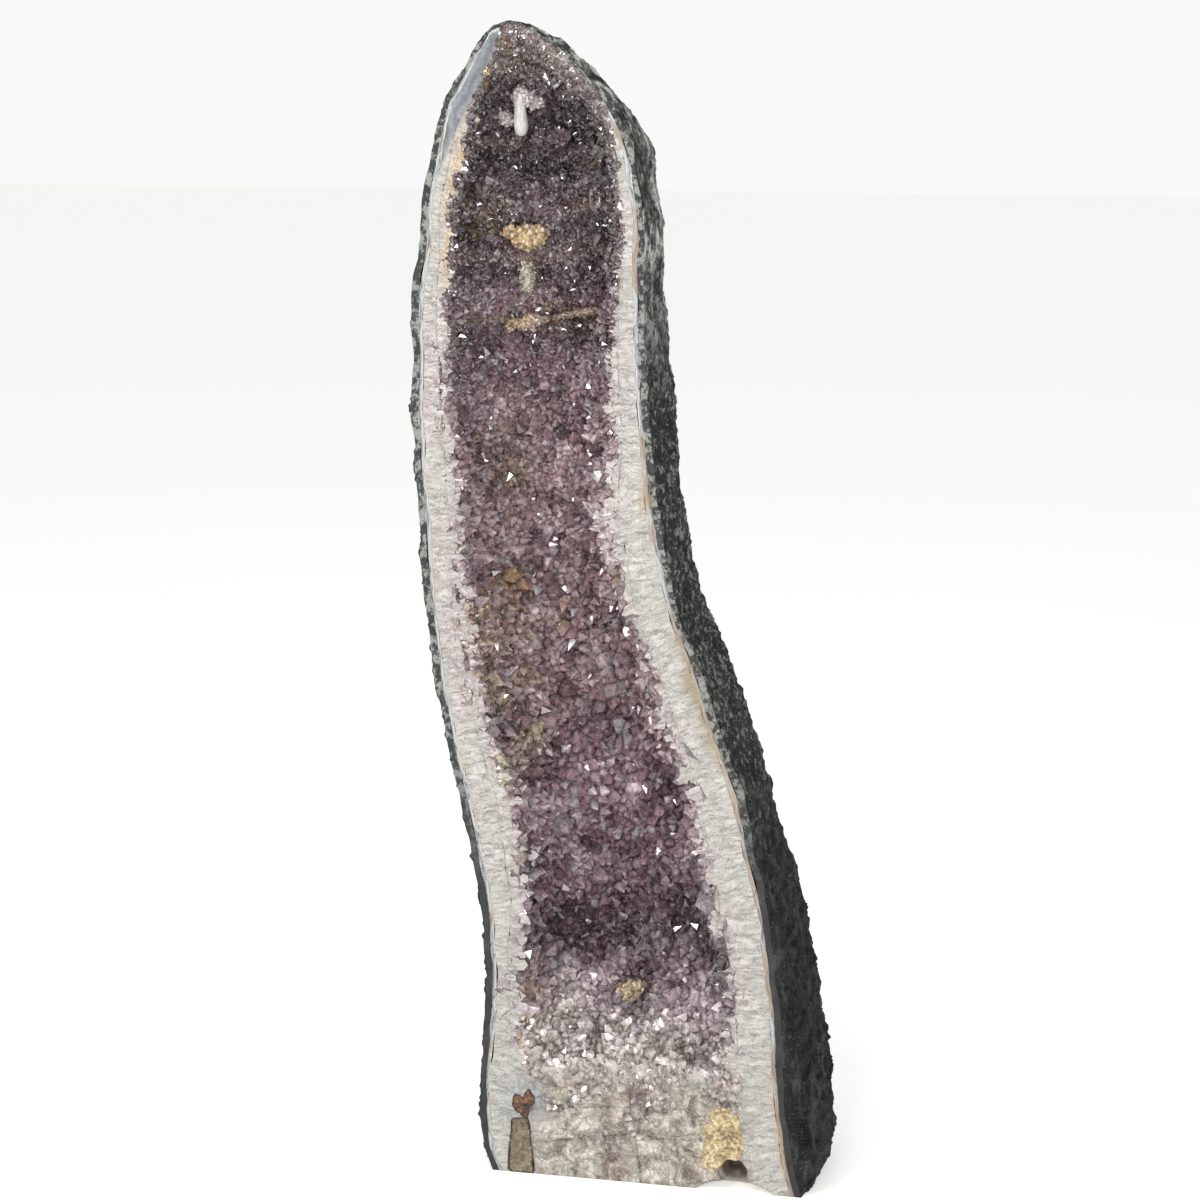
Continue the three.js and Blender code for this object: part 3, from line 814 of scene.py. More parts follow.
def uneven(dice):  # the primitive just added, put in its place and made less regular
    crystal = bpy.context.object
    bpy.ops.object.transform_apply(location=True)
    editAll()
    bpy.ops.transform.resize(value=(dice.uniform(0.8, 1.15), dice.uniform(0.85, 1.2), 1))
    return crystal


def longCrystal(index, dice):
    bpy.ops.object.select_all(action="DESELECT")
    bpy.ops.mesh.primitive_cylinder_add(vertices=6, radius=0.577, depth=1.8, location=(0, 0, 0.3))
    crystal = uneven(dice)
    slope = math.radians(crystalForm["slope"] + dice.uniform(-4, 4))
    for side in range(6):
        turn = math.radians(60 * side)
        deeper = side % 2 == index % 2
        cut = dice.uniform(0.04, crystalForm["unequal"]) if deeper else dice.uniform(-0.12, 0.03)
        way = (math.sin(slope) * math.cos(turn), math.sin(slope) * math.sin(turn), math.cos(slope))
        bpy.ops.mesh.select_all(action="SELECT")
        bpy.ops.mesh.bisect(plane_co=(0, 0, 1 - cut), plane_no=way, use_fill=True, clear_outer=True)
    stopEditing()
    return kindOf(crystal)


def shortCrystal(dice):  # a six-sided point on a blunter root
    bpy.ops.object.select_all(action="DESELECT")
    bpy.ops.mesh.primitive_cone_add(
        vertices=6, radius1=0.6, depth=0.66, end_fill_type="TRIFAN", location=(0, 0, 0.67))
    crystal = uneven(dice)
    stopEditing()
    points = pointsOf(crystal.data)
    ring = np.linalg.norm(points[:, :2], axis=1) > 0.2
    top = ~ring & (points[:, 2] > 0.8)
    root = ~ring & ~top
    points[ring, 2] += dice.uniform(-0.2, 0.14, ring.sum())
    points[ring, :2] *= dice.uniform(0.84, 1.16, (ring.sum(), 1))
    points[top, :2] += dice.uniform(-0.14, 0.14, 2)
    points[root, 2] = -0.35
    movePoints(crystal.data, points)
    return kindOf(crystal)


formDice = np.random.default_rng(21)
longKinds = [longCrystal(index, formDice) for index in range(crystalForm["long"])]
crystalKinds = longKinds + [shortCrystal(formDice) for _ in range(crystalForm["short"])]
print(len(crystalKinds), "kinds of crystal")


def farApart(spots, gaps, order):  # takes spots in turn, if none that was taken before is too near
    cells = np.floor(spots / gaps.max()).astype(int)
    taken, kept = {}, []
    around = [(i, j, k) for i in (-1, 0, 1) for j in (-1, 0, 1) for k in (-1, 0, 1)]
    for index in order:
        x, y, z = spots[index]
        i, j, k = cells[index]
        gap = gaps[index]
        near = False
        for di, dj, dk in around:
            for ox, oy, oz, other in taken.get((i + di, j + dj, k + dk), ()):
                if (x - ox) ** 2 + (y - oy) ** 2 + (z - oz) ** 2 < (0.5 * (gap + other)) ** 2:
                    near = True
                    break
            if near:
                break
        if not near:
            taken.setdefault((i, j, k), []).append((x, y, z, gap))
            kept.append(index)
    return kept


def spotsOn(piece, slot, tries, gapAt, seed, inside=None):
    mesh = piece.data
    points, normals = pointsOf(mesh), normalsOf(mesh)
    mesh.calc_loop_triangles()
    corners = numbersOf(mesh.loop_triangles, "vertices", width=3)
    faces = numbersOf(mesh.loop_triangles, "polygon_index")
    corners = corners[numbersOf(mesh.polygons, "material_index")[faces] == slot]
    if inside is not None:
        corners = corners[inside(points[corners].mean(1))]
    first, second, third = (points[corners[:, side]] for side in range(3))
    areas = np.linalg.norm(np.cross(second - first, third - first), axis=1)
    dice = np.random.default_rng(seed)
    picked = dice.choice(len(areas), tries, p=areas / areas.sum())
    root, share = np.sqrt(dice.random(tries)), dice.random(tries)
    weights = np.stack([1 - root, root * (1 - share), root * share], 1)[:, :, None]
    spots = (points[corners[picked]] * weights).sum(1)
    ways = (normals[corners[picked]] * weights).sum(1)
    ways /= np.linalg.norm(ways, axis=1)[:, None]
    rare = dice.random(tries) < crystalForm["rare"]
    gaps = gapAt(spots) * np.where(rare, dice.uniform(1.3, 1.9, tries), dice.uniform(0.7, 1.15, tries))
    kept = farApart(spots, gaps, dice.permutation(tries))
    return spots[kept], ways[kept], gaps[kept]


def evenSpots(faces, form, inside=None):  # spots for crystals of one width; faces: piece, slot and seed
    gap = form["width"] * form["spacing"]
    parts = [
        spotsOn(piece, slot, form["tries"], lambda at: np.full(len(at), gap), seed, inside)
        for piece, slot, seed in faces]
    spots, ways, gaps = (np.concatenate(column) for column in zip(*parts))
    return spots, ways, gaps / form["spacing"]


def turnsOf(ways, dice):  # a frame for each crystal, its last axis along the way it points
    spin = dice.uniform(0, 2 * math.pi, len(ways))
    aside = np.where(np.abs(ways[:, 2:3]) < 0.9, [[0, 0, 1.0]], [[1.0, 0, 0]])
    first = np.cross(aside, ways)
    first /= np.linalg.norm(first, axis=1)[:, None]
    second = np.cross(ways, first)
    across = first * np.cos(spin)[:, None] + second * np.sin(spin)[:, None]
    return np.stack([across, np.cross(ways, across), ways], 2)


def growCrystals(
        spots, ways, widths, tints, seed, tilt=0.38, tallness=(0.8, 1.5), sunk=(0.1, 0.4), longShare=0.3,
        sawn=True):
    dice = np.random.default_rng(seed)
    count = len(spots)
    ways = ways + dice.normal(size=(count, 3)) * tilt
    ways /= np.linalg.norm(ways, axis=1)[:, None]
    turns = turnsOf(ways, dice)
    tall = dice.uniform(*tallness, count) * widths
    feet = spots - ways * (dice.uniform(*sunk, count) * widths)[:, None]
    proud = dice.uniform(0.00002, 0.00014, count)  # so that no two sawn faces share a plane
    isLong = dice.random(count) < longShare
    longPick = dice.integers(0, len(longKinds), count)
    shortPick = dice.integers(len(longKinds), len(crystalKinds), count)
    kinds = np.where(isLong, longPick, shortPick)
    parts, start = [], 0
    for index, kind in enumerate(crystalKinds):
        mine = np.flatnonzero(kinds == index)
        local = kind["points"][None] * np.stack([widths[mine], widths[mine], tall[mine]], 1)[:, None]
        points = np.einsum("nij,nkj->nki", turns[mine], local) + feet[mine][:, None]
        flat = (points[:, :, 1] < sawY - proud[mine][:, None]) & sawn
        whole = flat.mean(1) < crystalForm["whole"]
        mine, points, flat = mine[whole], points[whole], flat[whole]
        points[:, :, 1] = np.where(flat, (sawY - proud[mine])[:, None], points[:, :, 1])
        size = len(kind["points"])
        corners = kind["corners"][None] + (start + size * np.arange(len(mine)))[:, None]
        # painted shade at each crystal's root and painted light towards its tip
        shade = crystalForm["rootShade"] + crystalForm["tipShade"] * np.clip(kind["points"][:, 2], 0, 1)
        colours = np.ones((len(mine), size, 4))
        colours[:, :, :3] = tints[mine][:, None, :] * shade[None, :, None]
        parts.append((points.reshape(-1, 3), corners.ravel(), np.tile(kind["counts"], len(mine)),
                      flat.ravel(), colours.reshape(-1, 4)))
        start += size * len(mine)
    return [np.concatenate(column) for column in zip(*parts)]


def crystalPiece(name, grown):
    points, corners, counts, flat, colours = grown
    cutFaces = np.logical_and.reduceat(flat[corners], firstCorners(counts))
    piece = joinMesh(name, points, corners, counts, cutFaces.astype(int))
    keepNumbers(piece.data, "tint", "FLOAT_COLOR", colours)
    markGrowth(piece, points, np.flatnonzero(flat))
    print(name, int((counts - 2).sum()), "triangles")
    return piece


# Zones of the hollow: how big the crystals are and how they are coloured, by height.
druseForm = {
    "widths": [
        (0.10, 0.0095), (0.24, 0.0120), (0.45, 0.0130), (0.62, 0.0112), (0.80, 0.0082), (0.90, 0.0060),
        (1.2, 0.0045)],
    # the dark step at 0.25 is painted shade in the crevice above the floor
    "colours": [
        (0.10, (244, 234, 220)), (0.15, (232, 220, 212)), (0.20, (197, 171, 180)),
        (0.25, (130, 100, 112)), (0.32, (176, 141, 152)), (0.50, (192, 156, 161)),
        (0.72, (196, 161, 166)), (0.82, (188, 154, 159)), (0.92, (152, 119, 126)),
        (1.02, (122, 95, 102)), (1.2, (132, 106, 108))],
    "spacing": 0.63,  # between neighbours, as a share of their width
    "bedTint": 0.5,  # painted shade: the bed under the crystals is darker than they are
    "bright": (0.32, 0.28),  # how much brightness varies by crystal, and in slow patches
    "milky": (226, 220, 221), "milkyShare": (0.10, 0.06),  # odd crystals painted near white as painted glints, and more of them higher up
    "rimPale": 0.004, "rimTint": (206, 196, 197),  # bleached this deep behind the sawn face
    "rimDark": 0.3, "rimDarkOver": 0.014,
    "ledges": [0.905, 0.975, 1.022, 1.080],
    "dust": (186, 166, 140), "dustOver": 0.005,  # pale dust on a ledge
    "under": 0.45, "underBy": 0.018, "underOver": 0.012,  # the shade below it
    "shade": [  # painted shade in dark corners: place, half width, half height, how dark
        (-0.050, 1.103, 0.060, 0.030, 0.94), (-0.085, 1.062, 0.050, 0.018, 0.45),
        (-0.07, 0.99, 0.05, 0.014, 0.35), (0.01, 0.247, 0.095, 0.020, 0.55),
        (-0.028, 0.582, 0.008, 0.008, 0.8), (-0.03, 0.475, 0.03, 0.02, 0.3),
        (-0.02, 0.665, 0.022, 0.012, 0.4), (0.111, 0.225, 0.014, 0.030, 0.5)],
    "stains": [  # place, half width, half height, colour, strength
        (-0.142, 0.575, 0.032, 0.062, (236, 214, 178), 1.0),
        (-0.126, 0.622, 0.028, 0.012, (214, 164, 108), 0.8),
        (-0.126, 0.445, 0.022, 0.026, (240, 230, 188), 1.0),
        (-0.115, 0.355, 0.018, 0.020, (212, 186, 150), 0.7),
        (-0.126, 0.750, 0.022, 0.030, (220, 198, 156), 0.6),
        (-0.006, 0.692, 0.028, 0.028, (238, 226, 222), 1.0),
        (0.002, 0.655, 0.010, 0.010, (196, 160, 118), 0.9),
        (-0.030, 1.068, 0.016, 0.005, (206, 186, 146), 0.8),
        (-0.132, 1.160, 0.010, 0.012, (214, 178, 104), 0.9),
        (-0.112, 1.186, 0.008, 0.008, (204, 172, 112), 0.8),
        (-0.098, 0.200, 0.007, 0.030, (226, 182, 112), 0.9),
        (-0.150, 1.010, 0.010, 0.020, (206, 184, 146), 0.6),
        (0.020, 1.000, 0.012, 0.030, (196, 176, 150), 0.5),
        (-0.104, 1.160, 0.034, 0.020, (148, 130, 98), 0.7),
        (-0.070, 0.914, 0.040, 0.008, (190, 164, 142), 0.8)],
}
zones = {  # piece: lowest and highest crystal, tries, seed, share of long crystals
    "druse_upper": (0.87, 1.3, 80000, 101, 0.1), "druse_middle": (0.56, 0.87, 60000, 102, 0.25),
    "druse_lower": (0.235, 0.56, 50000, 103, 0.3), "druse_floor": (0.0, 0.235, 24000, 104, 0.4),
}


def byHeight(points, stations):
    heights = [station[0] for station in stations]
    values = np.array([np.atleast_1d(station[1]) for station in stations], float)
    tall = points[:, 2] + 0.012 * waves(points, 5, (0.12, 0.05), (1.0, 0.6))
    return np.stack([np.interp(tall, heights, values[:, column]) for column in range(values.shape[1])], 1)


def widthAt(points):
    return byHeight(points, druseForm["widths"])[:, 0]


def linear(colours):  # the same as paint, for many colours at once
    return ((np.asarray(colours, float) / 255 + 0.055) / 1.055) ** 2.4


def towards(tint, colour, share):
    return tint * (1 - share[:, None]) + linear(colour) * share[:, None]


def between(dice, count, first, second):  # for each crystal a colour of its own between two
    share = dice.random((count, 1))
    return linear(first) * (1 - share) + linear(second) * share


def tintAt(points, seed, bleach=1.0):
    form = druseForm
    dice = np.random.default_rng(seed)
    count = len(points)
    tint = linear(byHeight(points, form["colours"]))
    single, patchy = form["bright"]
    bright = np.exp(dice.normal(0, single, count) + patchy * waves(points, 31, (0.09, 0.035), (1.0, 0.8)))
    tint *= bright[:, None]
    grey = tint.mean(1, keepdims=True)
    tint += (grey - tint) * (0.55 * np.clip(bright - 1, 0, 1))[:, None]  # the brightest are less violet
    # painted glints: a share of crystals turned near white, more of them higher up
    odd, more = form["milkyShare"]
    picked = dice.random(count) < odd + more * (points[:, 2] > 0.85)
    tint = towards(tint, form["milky"], picked * dice.uniform(0.3, 1.0, count))
    ragged = 0.6 * waves(points, 77, (0.05, 0.02), (1.0, 0.8))
    for across, up, wide, tall, colour, strength in form["stains"]:
        share = np.clip(1.25 - offFrom(points, across, up, wide, tall) + ragged, 0, 1) * strength
        tint = towards(tint, colour, share * dice.uniform(0.15, 1.0, count))
    for number, level in enumerate(form["ledges"]):
        above = points[:, 2] - level - 0.004 * waves(points, 50 + number, (0.08, 0.03), (1.0, 0.6))
        patches = np.clip(0.6 + 0.5 * waves(points, 60 + number, (0.07,), (1.0,)), 0, 1)
        dust = np.exp(-(above / form["dustOver"]) ** 2) * patches
        tint = towards(tint, form["dust"], dust * dice.uniform(0.3, 1.0, count))
        tint *= 1 - form["under"] * np.exp(-((above + form["underBy"]) / form["underOver"]) ** 2)[:, None]
    # painted shade in the dark corners
    for across, up, wide, tall, dark in form["shade"]:
        tint *= 1 - dark * np.exp(-offFrom(points, across, up, wide, tall) ** 2)[:, None]
    behind = np.maximum(points[:, 1] - sawY, 0)
    tint *= 1 - form["rimDark"] * np.exp(-behind / form["rimDarkOver"])[:, None] * (points[:, 2:] > 0.2)
    bleached = np.exp(-behind / form["rimPale"])
    return towards(tint, form["rimTint"], bleach * bleached * dice.uniform(0.1, 0.5, count))


# the bed's tint, darkened as painted shade under the crystals
bedTint = tintAt(pointsOf(bed.data), 4) * druseForm["bedTint"]
keepNumbers(bed.data, "tint", "FLOAT_COLOR", np.hstack([bedTint, np.ones((len(bedTint), 1))]))
facetFinish = facets("amethyst_facets", 0.45, 0.04)
paleFacets = facets("pale_facets", 0.4, 0.06)
for name, (low, high, tries, seed, longShare) in zones.items():
    spots, ways, gaps = spotsOn(
        bed, outsideFace, tries, lambda at: widthAt(at) * druseForm["spacing"], seed,
        lambda at: (at[:, 2] >= low) & (at[:, 2] < high))
    widths = gaps / druseForm["spacing"]
    piece = crystalPiece(
        name, growCrystals(spots, ways, widths, tintAt(spots, seed), seed, longShare=longShare))
    cover(piece, paleFacets if name == "druse_floor" else facetFinish, quartz)
    settle(piece, "amethyst", "amethyst_druse")


def onCrown(at):
    near = measureFrom(rindEdge, at)[1]
    left = np.clip((-0.112 - at[:, 0]) / 0.012, 0, 1)
    least = crownForm["bare"] + crownForm["bareLeft"] * left
    least = least + 0.0022 * waves(at, 90, (0.03, 0.014), (1.0, 0.8))
    least += crownForm["bareWidens"] * np.maximum(crownForm["from"] + 0.01 - at[:, 2], 0)
    return (at[:, 2] > crownStart(at) + 0.008 * waves(at, 94, (0.02,), (1.0,))) & (near > least)


def crownCrystals():  # fine crystals over the broken edge of the top
    seed = crownForm["seed"]
    faces = ((band, sawnFace, seed + 2), (wall, sawnFace, seed), (bed, sawnFace, seed + 1))
    spots, ways, widths = evenSpots(faces, crownForm, onCrown)
    near = np.exp(-measureFrom(rindEdge, spots)[1] / crownForm["edgeFade"])
    share = np.clip(near, 0, 0.8) * np.clip((spots[:, 0] + 0.11) / 0.03, 0.2, 1)
    tints = towards(tintAt(spots, seed, 0.15), crownForm["edgePaint"], share)
    return growCrystals(
        spots, ways, widths, tints, seed, 0.5, (0.7, 1.2), sunk=(0.3, 0.6), longShare=0.1, sawn=False)


def onRim(at):
    near = measureFrom(hollowEdge, at)[1] < rimReach(at) + 0.0005
    return near & (at[:, 2] < crownForm["from"] + 0.01)


def rimCrystals():
    seed, spacing = rimForm["seed"], rimForm["spacing"]
    spots, ways, gaps = spotsOn(
        bed, sawnFace, rimForm["tries"], lambda at: widthAt(at) * spacing, seed, onRim)
    pale = np.random.default_rng(seed).random(len(spots)) ** 2 * rimForm["pale"]
    tints = towards(tintAt(spots, seed, 0.0), rimForm["palest"], pale)
    return growCrystals(spots, ways, gaps / spacing, tints, seed, 0.35, longShare=0.2)


moundForm = {
    "at": (-0.004, 0.694), "size": (0.026, 0.028), "deep": 0.05,
    "width": 0.0105, "spacing": 0.6, "tries": 12000, "seed": 170,
    "colours": ((206, 186, 186), (240, 230, 226)),
}


def onMound(at):
    away = offFrom(at, *moundForm["at"], *moundForm["size"]) + 0.12 * waves(at, 95, (0.02,), (1.0,))
    return (away < 1) & (at[:, 1] < sawY + moundForm["deep"])


def moundCrystals():  # a pale knot that stands out from the right edge of the hollow
    seed = moundForm["seed"]
    faces = ((bed, sawnFace, seed), (bed, outsideFace, seed))
    spots, ways, widths = evenSpots(faces, moundForm, onMound)
    tints = between(np.random.default_rng(seed), len(spots), *moundForm["colours"])
    return growCrystals(spots, ways, widths, tints, seed, 0.4, (1.2, 2.0), longShare=0.3)


fringeForm = {
    "low": 0.075, "high": 0.138,  # between these heights it thickens
    "fromBand": 0.036, "proud": 0.0008,
    "width": 0.0095, "spacing": 0.7, "tries": 9000, "seed": 150,
    "colours": ((206, 188, 184), (244, 238, 222)),
}


def onFringe(at):
    top = fringeForm["high"] + 0.004 * waves(at, 92, (0.05,), (1.0,))
    fade = (at[:, 2] - fringeForm["low"]) / (fringeForm["high"] - fringeForm["low"])
    patch = fade + 0.35 * waves(at, 91, (0.06, 0.025), (1.0, 0.8)) > 0.4
    return (at[:, 2] < top) & patch & (measureFrom(bandEdge, at)[1] > fringeForm["fromBand"])


def fringeCrystals():  # pale stubby crystals where the floor meets the sawn foot
    seed = fringeForm["seed"]
    faces = ((wall, sawnFace, seed), (bed, sawnFace, seed))
    spots, ways, widths = evenSpots(faces, fringeForm, onFringe)
    tints = between(np.random.default_rng(seed), len(spots), *fringeForm["colours"])
    spots[:, 1] += fringeForm["proud"]
    return growCrystals(
        spots, ways, widths, tints, seed, 0.7, (0.6, 1.1), sunk=(0.1, 0.4), longShare=0.4, sawn=False)


for name, grow, finish in (
        ("druse_crown", crownCrystals, facetFinish), ("druse_rim", rimCrystals, facetFinish),
        ("pale_mound", moundCrystals, paleFacets), ("floor_fringe", fringeCrystals, paleFacets)):
    piece = crystalPiece(name, grow())
    cover(piece, finish, quartz)
    settle(piece, "amethyst", "amethyst_druse")
print("crystals grown")


# What grows on the lining.
def tintAll(piece, colour):
    tints = np.tile([*linear(colour), 1.0], (len(piece.data.vertices), 1))
    keepNumbers(piece.data, "tint", "FLOAT_COLOR", tints)


def looseCrystals(name, grown):  # crystals that are joined to what they grow on
    points, corners, counts, _, colours = grown
    cluster = joinMesh(name, points, corners, counts, np.zeros(len(counts)))
    keepNumbers(cluster.data, "tint", "FLOAT_COLOR", colours)
    return cluster


def fuse(piece, *others):
    onlySelect(piece)
    for other in others:
        other.select_set(True)
    bpy.ops.object.join()


lumpForm = {
    "finest": 0.003, "spacing": 0.75, "tilt": 0.6, "tallness": (0.6, 1.1),
    "waver": 0.0006, "waverLengths": (0.012, 0.006),
    "leftTall": 0.9, "leftEnd": (0.3, 0.34),  # where a climbing lump stays thick, and is coloured
}
lumps = [  # node, piece, slot, crystal width, tries, height against the solid's, colours, more settings
    ("golden_calcite", "golden_lump", "golden_calcite", 0.0060, 1500, 0.95,
     ((206, 172, 118), (226, 204, 160)), {}),
    ("cream_calcite", "cream_ledge", "cream_calcite", 0.0034, 4500, 0.34,
     ((156, 132, 116), (204, 180, 154), (226, 198, 150)), {"climb": 0.02, "ragged": 0.6}),
    ("edge_calcite", "edge_crust", "golden_calcite", 0.0045, 2500, 1.0,
     ((232, 212, 176), (244, 236, 216)), {"shift": (-0.015, -0.003, 0)}),
    ("crown_calcite", "crown_crust", "golden_calcite", 0.0040, 1200, 1.0,
     ((206, 176, 112), (232, 212, 160)), {"shift": (-0.016, -0.004, 0.013)}),
    ("floor_calcite", "floor_tuft", "cream_calcite", 0.0052, 1100, 0.75,
     ((186, 158, 112), (226, 212, 176)), {"climb": 0.014}),
    ("calcite_drop", "calcite_drop_skin", "green_calcite", 0.0038, 900, 0.82,
     ((176, 170, 146), (206, 200, 180)), {"shift": (0, 0, 0.007)}),
    ("pale_balls", "pale_ball_pair", "white_calcite", 0.0036, 800, 1.0,
     ((206, 192, 188), (230, 220, 216)), {}),
    ("left_dark_knob", "left_knob", "amethyst", 0.0060, 400, 1.0, ((104, 80, 90), (134, 110, 118)), {}),
    ("right_dark_knob", "right_knob", "amethyst", 0.0060, 400, 1.0, ((110, 88, 96), (146, 122, 130)), {}),
]


def reshaped(points, seed, flatter, climb=0.0, ragged=0.0, shift=(0, 0, 0)):
    middle = points[:, 2].mean()
    along = (points[:, 0] - points[:, 0].min()) / np.ptp(points[:, 0])
    leftEnd = np.clip((lumpForm["leftEnd"][0] - along) / 0.1, 0, 1) * (climb > 0)
    thin = flatter + (lumpForm["leftTall"] - flatter) * leftEnd
    thin = thin * (1 + ragged * waves(points[:, :1] * [[1, 0, 0]], seed, (0.03, 0.012), (1.0, 0.7)))
    points[:, 2] = middle + (points[:, 2] - middle) * thin + climb * (along - 0.45)
    return points + shift


def grownLump(node, name, width, tries, flatter, colours, seed, more):
    base = nodeCopy(node, name)
    movePoints(base.data, reshaped(pointsOf(base.data), seed, flatter, **more))
    for face in base.data.polygons:
        face.material_index = outsideFace
    splitLong(base, lumpForm["finest"], 5, (outsideFace,))
    relax(base, 2)
    points = pointsOf(base.data)
    lengths = lumpForm["waverLengths"]
    waver = np.stack([waves(points, seed + axis, lengths, (1, 1)) for axis in range(3)], 1)
    movePoints(base.data, points + lumpForm["waver"] * waver)
    form = {"width": width, "spacing": lumpForm["spacing"], "tries": tries}
    spots, ways, widths = evenSpots([(base, outsideFace, seed)], form)
    dice = np.random.default_rng(seed)
    tints = between(dice, len(spots), *colours[:2])
    if len(colours) > 2:  # the left end has a colour of its own
        along = (spots[:, 0] - points[:, 0].min()) / np.ptp(points[:, 0])
        share = np.clip((lumpForm["leftEnd"][1] - along) / 0.1, 0, 1) * dice.uniform(0.7, 1, len(spots))
        tints = towards(tints, colours[2], share)
    grown = growCrystals(spots, ways, widths, tints, seed, lumpForm["tilt"], lumpForm["tallness"])
    tintAll(base, colours[0])
    fuse(base, looseCrystals(name + "_points", grown))
    return base


lumpFinish = facets("calcite_facets", 0.12, 0.25)
for seed, (node, name, slotName, width, tries, flatter, colours, more) in enumerate(lumps, 200):
    piece = grownLump(node, name, width, tries, flatter, colours, seed, more)
    cover(piece, facetFinish if slotName == "amethyst" else lumpFinish)
    settle(piece, slotName, node)
print(len(lumps), "lumps grown")


def spearFinish():
    r = Recipe("white_spear")
    streaks = r.noise(1, 3, r.stretched((900, 900, 60)))
    colour = r.ramp(streaks, (0.3, 158, 153, 150), (0.5, 196, 192, 188), (0.7, 226, 224, 220))
    return r.finish(colour, 0.22, [(streaks, 0.0004)], Transmission_Weight=0.25, IOR=1.55)


spearForm = {
    "start": 0.0050,  # radius of the finger at its root
    "rings": [  # length, radius, lean
        (0.010, 0.0056, 0.9), (0.012, 0.0070, 1.15), (0.010, 0.0084, 1.1), (0.007, 0.0070, 0.8),
        (0.004, 0.0030, 0.45)],
    "lean": 0.0004,
    "root": 0.006,  # length of its first part, inside the knot
    "knotFrom": 0.030,  # height of the knot's foot above the tip
    "knotWide": 0.8,
    "width": 0.0058, "spacing": 0.7, "tries": 1500, "seed": 240,  # crystals of the knot
    "colours": ((176, 162, 162), (214, 206, 202)), "under": (206, 194, 190),
}


def spearKnot():  # the upper part of the solid, rounded
    knot = nodeCopy("calcite_spear", "spear_knot")
    tip = min(knot.data.vertices, key=lambda point: point.co.z).co.copy()
    foot = tip + Vector((0, 0, spearForm["knotFrom"]))
    onlySelect(knot)
    editAll()
    bpy.ops.mesh.bisect(plane_co=foot, plane_no=(0, 0, -1), use_fill=True, clear_outer=True)
    stopEditing()
    splitLong(knot, 0.003, 5, (outsideFace,))
    relax(knot, 3)
    points = pointsOf(knot.data)
    points[:, 0] = tip.x + (points[:, 0] - tip.x) * spearForm["knotWide"]
    movePoints(knot.data, points)
    tintAll(knot, spearForm["under"])
    return knot, tip


def spearFinger(tip):
    root = spearForm["root"]
    tall = sum(ring[0] for ring in spearForm["rings"])
    wide = spearForm["start"]
    bpy.ops.object.select_all(action="DESELECT")
    bpy.ops.mesh.primitive_cylinder_add(
        vertices=8, radius=wide, depth=root, location=tip + Vector((0, 0, tall + root / 2)))
    finger = bpy.context.object
    bpy.ops.object.transform_apply(location=True)
    bpy.ops.object.mode_set(mode="EDIT")
    bpy.context.tool_settings.mesh_select_mode = (False, False, True)
    bpy.ops.mesh.select_all(action="DESELECT")
    stopEditing()
    for face in finger.data.polygons:
        face.select = face.normal.z < -0.9
    bpy.ops.object.mode_set(mode="EDIT")
    for drop, radius, lean in spearForm["rings"]:
        step = (spearForm["lean"] * lean, 0, -drop)
        bpy.ops.mesh.extrude_region_move(TRANSFORM_OT_translate={"value": step})
        bpy.ops.transform.resize(value=(radius / wide, radius / wide, 1))
        wide = radius
    stopEditing()
    soften = finger.modifiers.new("soften", "SUBSURF")
    soften.levels = soften.render_levels = 2
    onlySelect(finger)
    bpy.ops.object.modifier_apply(modifier="soften")
    bpy.ops.object.shade_smooth()
    return finger


def spearPiece():  # a blunt finger that hangs from a knot of short crystals
    seed = spearForm["seed"]
    knot, tip = spearKnot()
    spots, ways, widths = evenSpots([(knot, outsideFace, seed)], spearForm)
    tints = between(np.random.default_rng(seed), len(spots), *spearForm["colours"])
    cluster = looseCrystals("spear_points", growCrystals(spots, ways, widths, tints, seed, 0.5, (0.7, 1.2)))
    finger = spearFinger(tip)
    cover(finger, spearFinish())
    cover(knot, lumpFinish)
    cover(cluster, lumpFinish)
    fuse(finger, knot, cluster)
    finger.name = finger.data.name = "white_spear"
    return finger


settle(spearPiece(), "white_calcite", "calcite_spear")
print("spear hung")


# What the saw cut through in the foot.
def plainBit(node, name, proud, ragged, grown):
    piece = nodeCopy(node, name)
    sortFaces(piece, [])
    splitLong(piece, 0.0025, 6, (outsideFace, sawnFace, cutBase))
    onPoint = relax(piece, 2)
    points = pointsOf(piece.data)
    middle = points.mean(0)
    middle[1] = sawY
    points = middle + (points - middle) * grown
    onFace = (onPoint & (1 << sawnFace)) > 0
    for axis, seed in ((0, 5), (2, 6)) if ragged else ():  # a ragged outline
        waver = ragged * waves(points, seed, (14 * ragged, 7 * ragged), (1.0, 0.6))
        points[:, axis] += waver * (points[:, 2] > 0.001)
    points[onFace, 1] -= proud
    movePoints(piece.data, points)
    away = np.full(len(points), 0.01)
    if onFace.any():
        border = treeOfPoints(points[onFace & ((onPoint & ~(1 << sawnFace)) > 0)])
        away[onFace] = measureFrom(border, points[onFace])[1]
    keepNumbers(piece.data, "edge", "FLOAT", away)
    return piece


def fillingFinish(name, stops, roughness, dark):
    r = Recipe(name)
    grain = r.noise(240, 5, roughness=0.7)
    colour = r.ramp(grain * 0.6 + r.noise(60, 4) * 0.4, *stops)
    outline = r.fall(r.attribute("edge") + (grain - 0.5) * 0.005, 0.0006, 0.0026)
    colour = r.over(colour, outline * dark, 44, 34, 28)
    return r.finish(colour, roughness, [(grain, 0.0009)])


